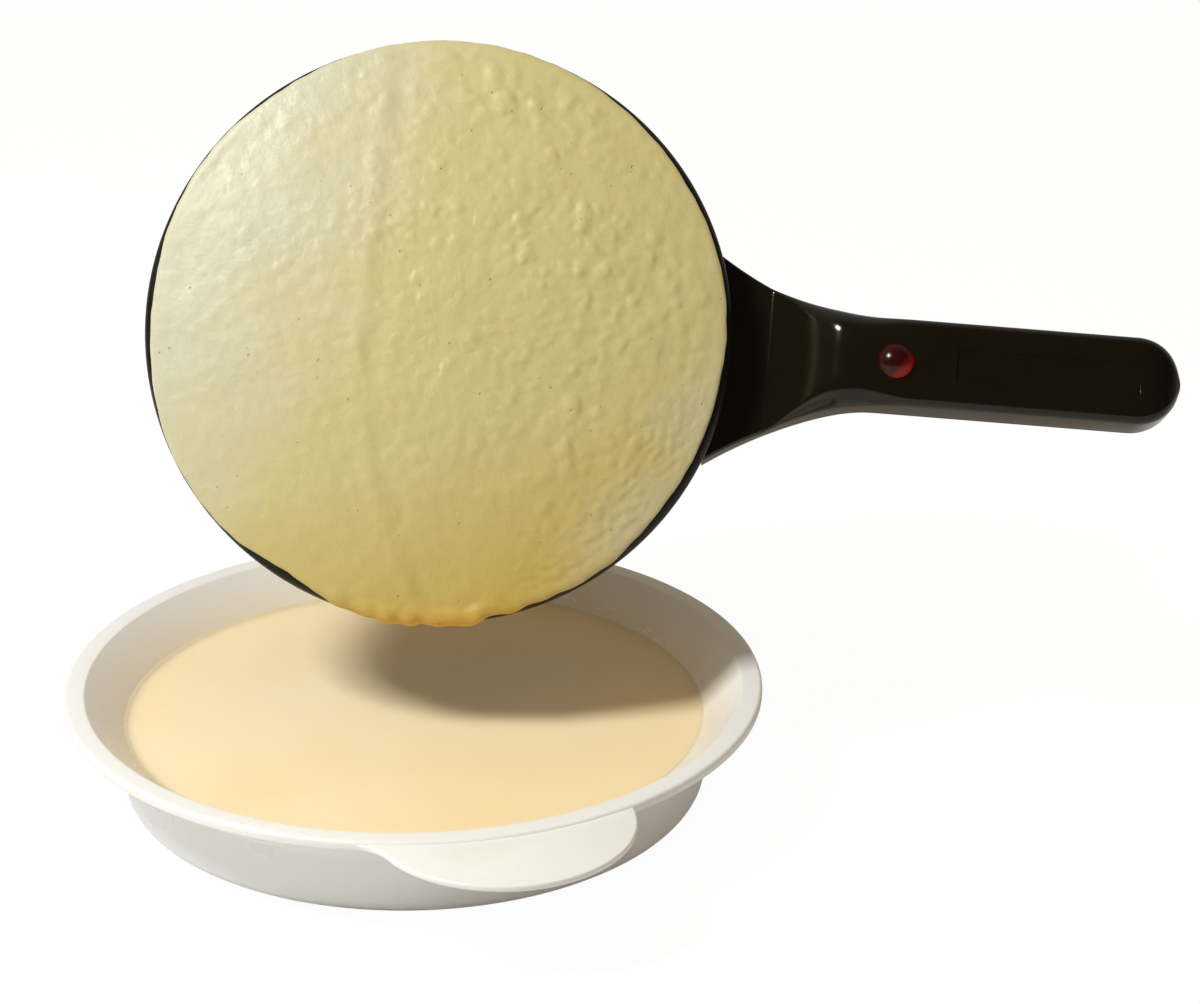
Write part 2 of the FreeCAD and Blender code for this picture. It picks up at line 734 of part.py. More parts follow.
def bowl_solid(inset, top=0.0):
    """The round bowl under the plate; with inset its inner space."""
    return turned([
        (0.0, -BOWL_DEPTH + inset, 0.0),
        (BOWL_HEEL_RADIUS - inset, -BOWL_DEPTH + inset, BOWL_HEEL_ROUND - inset),
        (BOWL_WAIST_RADIUS - inset, -BOWL_WAIST_DEPTH, 12.0),
        (BOWL_TOP_RADIUS - inset, bowl_top() + top, 0.0),
        (0.0, bowl_top() + top, 0.0),
    ])


def gasket_top():
    return roll_point(-PLATE_WALL, PLATE_EDGE_SLOPE).z - SEAT_GAP - 0.05


def bowl_top():
    return gasket_top() - GASKET_THICKNESS


def rim_gasket():
    outer = BOWL_TOP_RADIUS
    return ring(outer, outer - GASKET_WIDTH, bowl_top(), gasket_top())


def under_boss_height():
    """Top of the housing's towers, below the shield's rim."""
    return BOSS_END - SHIELD_THICKNESS


def counterbore(x, y, seat, low):
    """A screw's way in from below: the head's pocket and the shank's hole."""
    pocket = rod(SCREW_HEAD_DIAMETER + 1.0, vec(x, y, low - 1), vec(x, y, seat))
    hole = rod(SCREW_DIAMETER + 2 * SCREW_PLAY, vec(x, y, low - 1), vec(x, y, GRIP_TOP))
    return pocket.fuse(hole)


def handle_screw_seat(x):
    return handle_bottom(x) + HOUSING_WALL + 2.0


def housing_screw_seat():
    return -BOWL_DEPTH + 6.0


def lower_housing():
    """The bowl and the handle's underside, one moulding."""
    handle = handle_solid(0.0, False)
    inner_handle = handle_solid(HOUSING_WALL, False)
    shell = bowl_solid(0.0).fuse(handle)
    cavity = bowl_solid(HOUSING_WALL, 1.0).fuse(inner_handle)
    shell = shell.cut(cavity)
    outside = bowl_solid(0.0).fuse(handle)
    towers, ways = [], []
    for angle in BOSS_ANGLES:
        base = polar(BOSS_RADIUS, angle, -BOWL_DEPTH)
        top = polar(BOSS_RADIUS, angle, under_boss_height())
        towers.append(rod(BOSS_DIAMETER + 2, base, top))
        ways.append(counterbore(base.x, base.y, housing_screw_seat(), -BOWL_DEPTH))
    for x, y in HANDLE_SCREWS:
        base = vec(x, y, handle_bottom(x))
        towers.append(rod(HANDLE_BOSS_DIAMETER + 2, base, vec(x, y, handle_parting(x))))
        ways.append(counterbore(x, y, handle_screw_seat(x), handle_bottom(x)))
    towers = [tower.common(outside) for tower in towers]
    for angle in FOOT_ANGLES:
        low = polar(FOOT_RING, angle, -BOWL_DEPTH)
        ways.append(Part.makeCylinder(FOOT_RADIUS + 0.05, FOOT_HEIGHT - FOOT_STAND, low))
    ways.append(Part.makeCylinder(SOCKET_RADIUS + 0.1, HOUSING_WALL + 1, vec(0, 0, -BOWL_DEPTH - 0.5)))
    through = vec(0, 0, HOUSING_WALL + 1)
    for point in socket_screw_points(-BOWL_DEPTH):
        ways.append(rod(SCREW_DIAMETER + 2 * SCREW_PLAY, point - through, point + through))
    return shell.fuse(towers).cut(ways).removeSplitter()


def handle_cover():
    """The handle's upper shell, with its raised grip and recessed neck."""
    outer = handle_solid(0.0, True)
    inner = handle_solid(HOUSING_WALL, True)
    bowl = bowl_solid(-SEAT_GAP, 12.0)
    shell = outer.cut(inner)
    bosses, pilots = [], []
    for x, y in HANDLE_SCREWS:
        foot = vec(x, y, handle_parting(x))
        top = vec(x, y, handle_top(x) - 1.0)
        bosses.append(rod(HANDLE_BOSS_DIAMETER, foot, top))
        pilots.append(rod(SCREW_DIAMETER + SCREW_PLAY, foot, vec(x, y, handle_top(x) - HOUSING_WALL)))
    shell = shell.fuse([boss.common(outer) for boss in bosses])
    lamp_hole = rod(2 * (LENS_RADIUS - 1.0 + SEAT_GAP), vec(LAMP_X, 0, 0), vec(LAMP_X, 0, GRIP_TOP + 1))
    return shell.cut(pilots + [lamp_hole, grip_inset(), bowl]).removeSplitter()


def grip_inset():
    """The long shallow recess along the top of the grip."""
    half = INSET_WIDTH / 2
    z = GRIP_TOP - INSET_DEPTH
    spans = [(INSET_START, -half), (INSET_END, -half), (INSET_END, half), (INSET_START, half)]
    edges = rounded_edges([vec(x, y, z) for x, y in spans], [INSET_CORNER] * 4)
    return Part.Face(Part.Wire(edges)).extrude(vec(0, 0, 3))


def handle_screws():
    screws = []
    for x, y in HANDLE_SCREWS:
        head = vec(x, y, handle_screw_seat(x) - SCREW_HEAD_HEIGHT)
        length = min(10.0, handle_top(x) - HOUSING_WALL - handle_screw_seat(x) - 0.5)
        screws.append(screw(head, (0, 0, 1), length))
    return screws


def housing_screws():
    screws = []
    for angle in BOSS_ANGLES:
        head = polar(BOSS_RADIUS, angle, housing_screw_seat() - SCREW_HEAD_HEIGHT)
        screws.append(screw(head, (0, 0, 1), BOSS_END - housing_screw_seat() + 6.0))
    return screws


def rubber_feet():
    return [Part.makeCylinder(FOOT_RADIUS, FOOT_HEIGHT, polar(FOOT_RING, angle, -BOWL_DEPTH - FOOT_STAND))
            for angle in FOOT_ANGLES]


# Power socket

def socket_screw_points(z):
    return [vec(0, side * SOCKET_SCREW_SPREAD, z) for side in (1, -1)]


def socket_body():
    """The round well in the underside that drops over the base's plug."""
    low = -BOWL_DEPTH
    seat = low + HOUSING_WALL
    body = Part.makeCylinder(SOCKET_RADIUS, SOCKET_HEIGHT, vec(0, 0, low))
    flange = Part.makeCylinder(SOCKET_FLANGE_RADIUS, 2.0, vec(0, 0, seat))
    well = Part.makeCylinder(SOCKET_WELL_RADIUS, SOCKET_HEIGHT - SOCKET_FLOOR, vec(0, 0, low))
    well_top = low + SOCKET_HEIGHT - SOCKET_FLOOR
    post = Part.makeCylinder(SOCKET_POST_RADIUS, well_top - low - SOCKET_POST_DROP, vec(0, 0, low + SOCKET_POST_DROP))
    ways = [rod(SCREW_DIAMETER + 2 * SCREW_PLAY, p, p + vec(0, 0, 4)) for p in socket_screw_points(seat - 1)]
    ways.append(rod(2 * 1.5, vec(0, 0, low + 1), vec(0, 0, low + SOCKET_HEIGHT + 1)))
    return body.fuse(flange).cut(well).fuse(post).cut(ways)


def socket_centre_contact():
    """The live contact, a sleeve in the middle of the post."""
    low = -BOWL_DEPTH + SOCKET_POST_DROP
    sleeve = rod(2 * 1.5, vec(0, 0, low), vec(0, 0, -BOWL_DEPTH + SOCKET_HEIGHT + 4))
    return sleeve.cut(rod(2 * 0.8, vec(0, 0, low), vec(0, 0, low + 7)))


def socket_ring_contact():
    """The neutral contact, a ring that stands in the well."""
    top = -BOWL_DEPTH + SOCKET_HEIGHT - SOCKET_FLOOR
    return ring(RING_RADIUS, RING_RADIUS - RING_WALL, top - RING_HEIGHT, top)


def socket_screws():
    return [screw(point, (0, 0, -1), 4.2)
            for point in socket_screw_points(-BOWL_DEPTH + HOUSING_WALL + 2.0 + SCREW_HEAD_HEIGHT)]


# Lamp

def lens_seat():
    """Underside of the cover's top wall, where the lens flange bears."""
    return GRIP_TOP - HOUSING_WALL


def lamp_lens():
    neck = LENS_RADIUS - 1.0
    seat = lens_seat() - SEAT_GAP
    shank = rod(2 * neck, vec(LAMP_X, 0, seat - LENS_FLANGE_HEIGHT), vec(LAMP_X, 0, GRIP_TOP + 0.1))
    flange = rod(2 * (neck + LENS_FLANGE), vec(LAMP_X, 0, seat - LENS_FLANGE_HEIGHT), vec(LAMP_X, 0, seat))
    cap_radius = (LENS_RADIUS ** 2 + LENS_RISE ** 2) / (2 * LENS_RISE)
    ball = Part.makeSphere(cap_radius, vec(LAMP_X, 0, GRIP_TOP + 0.1 + LENS_RISE - cap_radius))
    above = Part.makeCylinder(LENS_RADIUS + 1, LENS_RISE + 1, vec(LAMP_X, 0, GRIP_TOP + 0.1))
    bulb_room = rod(5.6, vec(LAMP_X, 0, seat - LENS_FLANGE_HEIGHT), vec(LAMP_X, 0, GRIP_TOP - 0.2))
    return shank.fuse([flange, ball.common(above)]).cut(bulb_room).removeSplitter()


def holder_top():
    return lens_seat() - SEAT_GAP - LENS_FLANGE_HEIGHT


def lamp_holder():
    top = holder_top()
    low = vec(LAMP_X, 0, top - 6.0)
    cup = rod(2 * (LENS_RADIUS + 0.5), low, vec(LAMP_X, 0, top))
    return cup.cut(rod(5.6, low + vec(0, 0, 1.5), vec(LAMP_X, 0, top)))


def neon_lamp():
    low = holder_top() - 4.4
    tube = rod(5.0, vec(LAMP_X, 0, low), vec(LAMP_X, 0, GRIP_TOP - 2.8))
    tip = Part.makeSphere(2.5, vec(LAMP_X, 0, GRIP_TOP - 2.8))
    return tube.fuse(tip).removeSplitter()


def lamp_resistor():
    """The lamp's series resistor, on the floor of the handle."""
    centre = vec(LAMP_X + 16, 0, GRIP_BOTTOM + HOUSING_WALL + 1.5 + SEAT_GAP)
    body = rod(3.0, centre - vec(4, 0), centre + vec(4, 0))
    return body.fuse(rod(0.8, centre - vec(8, 0), centre + vec(8, 0)))


# Terminals and leads

def block_floor():
    return -BOWL_DEPTH + HOUSING_WALL


def terminal_block():
    """A ceramic block on the bowl's floor, with two clamping ways."""
    length, width, height = BLOCK_SIZE
    block = Part.makeBox(length, width, height, vec(BLOCK_X - length / 2, -width / 2, block_floor()))
    for y in (-6.5, 6.5):
        way = rod(4.2, vec(BLOCK_X - length, y, block_floor() + 5), vec(BLOCK_X + length, y, block_floor() + 5))
        well = rod(4.6, vec(BLOCK_X, y, block_floor() + 5), vec(BLOCK_X, y, block_floor() + height))
        block = block.cut([way, well])
    return block


def terminal_clamps():
    """Brass tubes in the block's ways, each with its screw's thread hole."""
    clamps = []
    length, _, height = BLOCK_SIZE
    for y in (-6.5, 6.5):
        z = block_floor() + 5
        tube = rod(4.0, vec(BLOCK_X - length / 2 + 1, y, z), vec(BLOCK_X + length / 2 - 1, y, z))
        bore = rod(2.4, vec(BLOCK_X - length, y, z), vec(BLOCK_X + length, y, z))
        post = rod(4.2, vec(BLOCK_X, y, z), vec(BLOCK_X, y, block_floor() + height - 1))
        clamps.append(tube.fuse(post).cut(bore))
    return clamps


def supply_leads():
    """Insulated leads from the socket to the terminal block."""
    z = block_floor() + 5
    end = BLOCK_X - BLOCK_SIZE[0] / 2 - 0.2
    top = -BOWL_DEPTH + SOCKET_HEIGHT + LEAD_DIAMETER / 2 + 0.3
    leads = []
    for side, start in ((1, 4.0), (-1, 10.0)):
        leads.append(bent_tube([
            vec(start, side * 2.0, top), vec(24, side * 4.0, top + 0.5), vec(34, side * 6.0, z + 6),
            vec(44, side * 6.4, z), vec(end, side * 6.5, z)], LEAD_DIAMETER))
    return leads


def element_leads():
    """Insulated leads from the terminal block up to the element's cold pins."""
    z = block_floor() + 5
    start = BLOCK_X + BLOCK_SIZE[0] / 2 + 0.2
    pin = element_height()
    tip = ELEMENT_LEG_END + COLD_PIN_LENGTH
    leads = []
    for side in (1, -1):
        leads.append(bent_tube([
            vec(start, side * 6.5, z), vec(start + 9, side * 6.5, z + 1), vec(tip + 1.2, side * 7.5, z + 11),
            vec(tip + 1.4, side * ELEMENT_LEG_SPREAD, pin - COLD_PIN_DIAMETER / 2)], LEAD_DIAMETER))
    return leads


def lamp_leads():
    """Two thin leads along the neck to the lamp in the grip."""
    leads = []
    for side in (1, -1):
        leads.append(bent_tube([
            vec(BLOCK_X + BLOCK_SIZE[0] / 2 + 0.3, side * 11.0, block_floor() + 7),
            vec(90, side * 11.0, -24.0), vec(112, side * 9.0, -19.0), vec(130, side * 6.0, -12.0),
            vec(148, side * 2.6, -7.0), vec(LAMP_X - 1.0, side * 2.2, holder_top() - 6.9)], 1.6))
    return leads


ROW_NODES = {"batter_dish": batter_dish, "batter": batter}

PAN_NODES = {
    "cooking_plate": cooking_plate,
    "crepe": crepe,
    "rim_gasket": rim_gasket,
    "heating_element": heating_element,
    "terminal_insulators": terminal_insulators,
    "cold_pins": cold_pins,
    "clamp_straps": clamp_straps,
    "clamp_screws": clamp_screws,
    "heat_shield": heat_shield,
    "thermostat_cup": thermostat_cup,
    "thermostat_disc": thermostat_disc,
    "thermostat_body": thermostat_body,
    "thermostat_tabs": thermostat_tabs,
    "thermostat_screw": thermostat_screw,
    "thermal_fuse": thermal_fuse,
    "fuse_clip": fuse_clip,
    "lower_housing": lower_housing,
    "handle_cover": handle_cover,
    "handle_screws": handle_screws,
    "housing_screws": housing_screws,
    "rubber_feet": rubber_feet,
    "socket_body": socket_body,
    "socket_centre_contact": socket_centre_contact,
    "socket_ring_contact": socket_ring_contact,
    "socket_screws": socket_screws,
    "lamp_lens": lamp_lens,
    "lamp_holder": lamp_holder,
    "neon_lamp": neon_lamp,
    "lamp_resistor": lamp_resistor,
    "terminal_block": terminal_block,
    "terminal_clamps": terminal_clamps,
    "supply_leads": supply_leads,
    "element_leads": element_leads,
    "lamp_leads": lamp_leads,
}


def export(name, made, placement):
    shape = Part.Compound(made) if isinstance(made, list) else made
    if placement is not None:
        shape = shape.copy()
        shape.Placement = placement * shape.Placement
    shape.exportStep(f"parts/{name}.step")
    solids = shape.Solids
    print(f"{name}: {len(solids)} solids, {shape.Volume / 1000:.2f} cm3, valid {shape.isValid()}")


def main():
    os.makedirs("parts", exist_ok=True)
    for name, make in ROW_NODES.items():
        export(name, make(), None)
    for name, make in PAN_NODES.items():
        export(name, make(), PAN)


main()
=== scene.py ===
"""Looks of a hand-held electric crepe maker, tilted over its batter dish.

Every piece is built in millimetres in its own space, the dish's or the pan's,
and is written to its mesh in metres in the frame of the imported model.
"""

import logging
import math
from dataclasses import dataclass, replace
from enum import Enum
from typing import Optional, Sequence

import bmesh
import bpy
from mathutils import Matrix, Vector, noise

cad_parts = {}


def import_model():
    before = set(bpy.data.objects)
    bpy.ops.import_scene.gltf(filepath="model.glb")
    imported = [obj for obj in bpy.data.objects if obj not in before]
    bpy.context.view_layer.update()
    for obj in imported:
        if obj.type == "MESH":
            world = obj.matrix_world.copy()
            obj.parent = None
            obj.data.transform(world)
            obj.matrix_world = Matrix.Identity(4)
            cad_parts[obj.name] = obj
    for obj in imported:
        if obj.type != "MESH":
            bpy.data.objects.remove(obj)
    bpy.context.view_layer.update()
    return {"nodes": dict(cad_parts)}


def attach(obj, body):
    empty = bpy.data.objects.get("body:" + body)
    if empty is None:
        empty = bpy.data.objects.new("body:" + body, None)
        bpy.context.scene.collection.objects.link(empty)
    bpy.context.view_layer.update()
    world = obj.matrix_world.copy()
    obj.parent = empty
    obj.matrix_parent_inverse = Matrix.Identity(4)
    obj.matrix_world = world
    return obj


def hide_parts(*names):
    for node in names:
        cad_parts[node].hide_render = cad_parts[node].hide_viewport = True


LOG = logging.getLogger("crepe_maker")
MM = 0.001
PHOTO_WIDTH = 1200
WHITE = (1.0, 1.0, 1.0, 1.0)

Profile = list[tuple[float, float]]
Tree = bpy.types.NodeTree
Socket = bpy.types.NodeSocket


class Body(str, Enum):
    """The rigid bodies that pieces ride on."""

    DISH = "dish"
    PAN = "pan"


def linear(code: str) -> tuple[float, float, float, float]:
    """Turns an sRGB hex colour into linear RGBA.

    Args:
        code: six hex digits, with or without a leading hash.

    Returns:
        The colour's linear red, green and blue, with an alpha of 1.
    """
    code = code.lstrip("#")
    parts = [int(code[i:i + 2], 16) / 255.0 for i in (0, 2, 4)]
    channels = [c / 12.92 if c <= 0.04045 else ((c + 0.055) / 1.055) ** 2.4 for c in parts]
    return (channels[0], channels[1], channels[2], 1.0)


def smooth_step(x: float, low: float, high: float) -> float:
    """Rises smoothly from 0 at low to 1 at high."""
    share = min(1.0, max(0.0, (x - low) / (high - low)))
    return share * share * (3.0 - 2.0 * share)


def add_node(
    tree: Tree, kind: str, settings: Optional[dict] = None, links: Optional[dict] = None
) -> bpy.types.Node:
    """Adds one shader node, sets it up and links its inputs.

    Args:
        tree: the node tree that gets the node.
        kind: the node's type name.
        settings: attributes, or values of inputs named in the node.
        links: input names with the output sockets that feed them.

    Returns:
        The new node.
    """
    node = tree.nodes.new(kind)
    for key, value in (settings or {}).items():
        if isinstance(key, str) and hasattr(node, key):
            setattr(node, key, value)
        else:
            node.inputs[key].default_value = value
    for key, socket in (links or {}).items():
        tree.links.new(socket, node.inputs[key])
    return node


@dataclass(frozen=True)
class PanSpace:
    """Where the pan is held: its rim's centre, its face's rise and its turn."""

    centre: tuple[float, float, float] = (9.0, 27.3, 156.1)
    face_elevation: float = 29.3
    handle_turn: float = -4.5

    def matrix(self) -> Matrix:
        """The pan's own space placed in the row's, in millimetres."""
        tilt = Matrix.Rotation(math.radians(90.0 - self.face_elevation), 4, "X")
        turn = Matrix.Rotation(math.radians(self.handle_turn), 4, "Z")
        return Matrix.Translation(Vector(self.centre)) @ tilt @ turn


@dataclass(frozen=True)
class Grain:
    """One layer of bump: its size and height in millimetres."""

    size: float
    height: float
    detail: float = 2.0


@dataclass(frozen=True)
class Finish:
    """A moulded, coated or plated surface.

    The colour drifts slowly between two values, the roughness varies about
    its mean as handling leaves it, and each grain adds bump of a real size.
    """

    name: str
    colour: str
    second: str = ""
    drift: float = 40.0
    roughness: float = 0.4
    wear: float = 0.06
    metallic: float = 0.0
    ior: float = 1.5
    transmission: float = 0.0
    subsurface: float = 0.0
    subsurface_reach: float = 2.0
    subsurface_spread: tuple[float, float, float] = (1.0, 0.8, 0.6)
    specular: float = 0.5
    grains: tuple[Grain, ...] = (Grain(0.6, 0.004),)

    def noise_at(self, tree: Tree, place: Socket, size: float, detail: float = 2.0) -> Socket:
        """A noise whose blotches are about size millimetres across."""
        settings = {"Scale": 1.0 / (size * MM), "Detail": detail}
        return add_node(tree, "ShaderNodeTexNoise", settings, {"Vector": place}).outputs["Fac"]

    def base_colour(self, tree: Tree, place: Socket) -> Socket:
        """The surface's colour, drifting between its two values."""
        ramp = add_node(
            tree, "ShaderNodeValToRGB", None, {"Fac": self.noise_at(tree, place, self.drift)}
        )
        stops = ((0.35, self.colour), (0.65, self.second or self.colour))
        for stop, (position, colour) in zip(ramp.color_ramp.elements, stops):
            stop.position = position
            stop.color = linear(colour)
        return ramp.outputs["Color"]

    def bump(self, tree: Tree, place: Socket) -> Socket:
        """The grains' bump, one on another."""
        links: dict = {}
        for grain in self.grains:
            links["Height"] = self.noise_at(tree, place, grain.size, grain.detail)
            settings = {"Distance": grain.height * MM}
            links["Normal"] = add_node(tree, "ShaderNodeBump", settings, links).outputs["Normal"]
        return links["Normal"]

    def rough(self, tree: Tree, place: Socket) -> Socket:
        """Roughness that varies by wear about its mean."""
        settings = {
            "interpolation_type": "SMOOTHSTEP",
            "From Min": 0.2,
            "From Max": 0.8,
            "To Min": max(0.02, self.roughness - self.wear),
            "To Max": min(1.0, self.roughness + self.wear),
        }
        smears = self.noise_at(tree, place, self.drift * 0.5, 4.0)
        return add_node(tree, "ShaderNodeMapRange", settings, {"Value": smears}).outputs["Result"]

    def material(self) -> bpy.types.Material:
        """Builds the finish's material, or finds it if it is built.

        Returns:
            The material, named for the finish.
        """
        made = bpy.data.materials.get(self.name)
        if made is not None:
            return made
        made = bpy.data.materials.new(self.name)
        made.use_nodes = True
        tree = made.node_tree
        tree.nodes.clear()
        place = add_node(tree, "ShaderNodeTexCoord").outputs["Object"]
        links = {
            "Base Color": self.base_colour(tree, place),
            "Roughness": self.rough(tree, place),
            "Normal": self.bump(tree, place),
        }
        settings = {
            "Metallic": self.metallic,
            "Transmission Weight": self.transmission,
            "Subsurface Weight": self.subsurface,
            "Subsurface Radius": [self.subsurface_reach * share for share in self.subsurface_spread],
            "Subsurface Scale": MM,
            "Specular IOR Level": self.specular,
        }
        if self.metallic == 0.0:
            settings["IOR"] = self.ior
        shader = add_node(tree, "ShaderNodeBsdfPrincipled", settings, links)
        add_node(tree, "ShaderNodeOutputMaterial", None, {"Surface": shader.outputs["BSDF"]})
        return made


@dataclass(frozen=True)
class Zone:
    """A part of the crepe with its own colour, which comes in along a slant.

    The slant weighs the way across, a slow noise and the way up, and the
    colour's share grows from 0 at start to share at full.
    """

    colour: str
    slant: tuple[float, float, float]
    start: float
    full: float
    share: float = 1.0


@dataclass(frozen=True)
class CrepeFinish(Finish):
    """Batter that is setting: wet and pale at the left, dry and golden low down. The change from pale
    to golden across it is partly the batter's own and partly painted light: paler where the key light
    falls from the upper left, more golden away from it.
    """

    # Partly painted light: this slant from the pale upper left to golden at the right also paints the
    # key light's fall from the upper left.
    golden: Zone = Zone("#C5B675", (1.0, 0.30, -0.55), -0.06, 0.27, 0.75)
    dry: Zone = Zone("#BDB698", (1.0, 0.30, -0.90), 0.66, 0.80, 0.60)
    low: Zone = Zone("#BEA446", (-0.30, 0.0, 1.0), 0.19, -0.15)
    lip: Zone = Zone("#CDA048", (0.0, 0.0, 1.0), 0.10, 0.055)
    blotch_size: float = 26.0
    reach: float = 100.0
    pinhole_cell: float = 3.4
    pinhole_share: float = 0.22
    pinhole_radius: float = 0.14
    pinhole_depth: float = 0.35

    def base_colour(self, tree: Tree, place: Socket) -> Socket:
        """Pale at the upper left, golden to the right and deepest at the bottom; the pale side is
        partly a painted highlight and the golden side partly painted shade.
        """
        axes = add_node(tree, "ShaderNodeSeparateXYZ", None, {"Vector": place})
        ways = {"Y": self.noise_at(tree, place, self.blotch_size, 3.0)}
        for axis, middle in (("X", PanSpace.centre[0]), ("Z", PanSpace.centre[2])):
            settings = {
                "From Min": (middle - self.reach) * MM,
                "From Max": (middle + self.reach) * MM,
            }
            span = add_node(tree, "ShaderNodeMapRange", settings, {"Value": axes.outputs[axis]})
            ways[axis] = span.outputs["Result"]
        spread = add_node(tree, "ShaderNodeCombineXYZ", None, ways).outputs[0]
        shares: dict[Zone, Socket] = {}
        for zone in (self.golden, self.dry, self.low, self.lip):
            slant = add_node(
                tree, "ShaderNodeVectorMath", {"operation": "DOT_PRODUCT", 1: zone.slant}, {0: spread}
            )
            settings = {"From Min": zone.start, "From Max": zone.full, "To Max": zone.share}
            share = add_node(tree, "ShaderNodeMapRange", settings, {"Value": slant.outputs["Value"]})
            shares[zone] = share.outputs["Result"]
        shares[self.low] = add_node(
            tree, "ShaderNodeMath", {"operation": "SUBTRACT", "use_clamp": True},
            {0: shares[self.low], 1: shares[self.dry]},
        ).outputs[0]
        tone = add_node(tree, "ShaderNodeRGB").outputs[0]
        tone.default_value = linear(self.colour)
        for zone, share in shares.items():
            settings = {"data_type": "RGBA", 7: linear(zone.colour)}
            tone = add_node(tree, "ShaderNodeMix", settings, {0: share, 6: tone}).outputs[2]
        return tone

    def bump(self, tree: Tree, place: Socket) -> Socket:
        """The grains' bump with sparse pinholes where steam has broken out."""
        scale = {"Scale": 1.0 / (self.pinhole_cell * MM)}
        cells = add_node(tree, "ShaderNodeTexVoronoi", scale, {"Vector": place})
        chance = add_node(tree, "ShaderNodeSeparateColor", None, {"Color": cells.outputs["Color"]})
        size = add_node(
            tree, "ShaderNodeMapRange",
            {"From Min": 1.0 - self.pinhole_share, "To Max": self.pinhole_radius},
            {"Value": chance.outputs["Red"]},
        )
        hole = add_node(
            tree, "ShaderNodeMath", {"operation": "SUBTRACT"},
            {0: cells.outputs["Distance"], 1: size.outputs["Result"]},
        )
        rim = {"From Min": -0.06, "From Max": 0.02}
        depth = add_node(tree, "ShaderNodeMapRange", rim, {"Value": hole.outputs[0]})
        settings = {"Distance": self.pinhole_depth * MM}
        links = {"Height": depth.outputs["Result"], "Normal": super().bump(tree, place)}
        return add_node(tree, "ShaderNodeBump", settings, links).outputs["Normal"]


@dataclass(frozen=True)
class DishFinish(Finish):
    """White plastic, its inner wall dulled by a thin film of batter; the film's cream also paints the
    warm bounce light that the batter throws back onto the wall.
    """

    # Painted bounce light in part: this cream, strongest just above the batter and fading up the wall,
    # stands for a film of batter and for the batter's warm reflected light.
    film_and_bounce_colour: str = "#F6DDAE"
    film_and_bounce_low: float = 25.0
    film_and_bounce_high: float = 36.5
    film_and_bounce_least: float = 0.15
    film_and_bounce_most: float = 0.55
    flare: float = 1.0
    wall_foot: float = 0.0

    def base_colour(self, tree: Tree, place: Socket) -> Socket:
        """The plastic's white, with cream on the inner wall: partly the film of batter, partly painted
        bounce light from the batter.
        """
        axes = add_node(tree, "ShaderNodeSeparateXYZ", None, {"Vector": place})
        sides = {"X": axes.outputs["X"], "Y": axes.outputs["Y"]}
        flat = add_node(tree, "ShaderNodeCombineXYZ", None, sides)
        reach = add_node(tree, "ShaderNodeVectorMath", {"operation": "LENGTH"}, {0: flat.outputs[0]})
        depth = add_node(
            tree, "ShaderNodeMath", {"operation": "MULTIPLY_ADD", 1: -self.flare},
            {0: axes.outputs["Z"], 2: reach.outputs["Value"]},
        )
        inside = add_node(
            tree, "ShaderNodeMapRange",
            {"From Min": (self.wall_foot + 1.6) * MM, "From Max": (self.wall_foot + 0.6) * MM},
            {"Value": depth.outputs[0]},
        )
        settings = {
            "From Min": self.film_and_bounce_high * MM,
            "From Max": self.film_and_bounce_low * MM,
            "To Min": self.film_and_bounce_least,
            "To Max": self.film_and_bounce_most,
        }
        height = add_node(tree, "ShaderNodeMapRange", settings, {"Value": axes.outputs["Z"]})
        amount = add_node(
            tree, "ShaderNodeMath", {"operation": "MULTIPLY"},
            {0: inside.outputs["Result"], 1: height.outputs["Result"]},
        )
        clean = super().base_colour(tree, place)
        # The film and the painted bounce light are mixed onto the inner wall here.
        settings = {"data_type": "RGBA", 7: linear(self.film_and_bounce_colour)}
        return add_node(tree, "ShaderNodeMix", settings, {0: amount.outputs[0], 6: clean}).outputs[2]


@dataclass(frozen=True)
class LensFinish(Finish):
    """Clear red plastic, its colour painted with light: dark where the light enters, a painted glow
    where it gathers.
    """

    # Painted glow: the bright red painted at the lower right, where light gathers in the dome.
    glow: str = "#D0200E"
    centre: tuple[float, float, float] = (0.0, 0.0, 0.0)
    reach: float = 6.0

    def base_colour(self, tree: Tree, place: Socket) -> Socket:
        """Painted light: dark red at the upper left, a painted glow of bright red at the lower right.
        """
        aim = Vector((1.0, 0.0, -1.0)).normalized()
        middle = aim.dot(Vector(self.centre))
        along = add_node(
            tree, "ShaderNodeVectorMath", {"operation": "DOT_PRODUCT", 1: tuple(aim)}, {0: place}
        )
        share = add_node(
            tree, "ShaderNodeMapRange",
            {"From Min": (middle + 0.2 * self.reach) * MM, "From Max": (middle + self.reach) * MM},
            {"Value": along.outputs["Value"]},
        )
        settings = {"data_type": "RGBA", 6: linear(self.colour), 7: linear(self.glow)}
        return add_node(tree, "ShaderNodeMix", settings, {0: share.outputs["Result"]}).outputs[2]


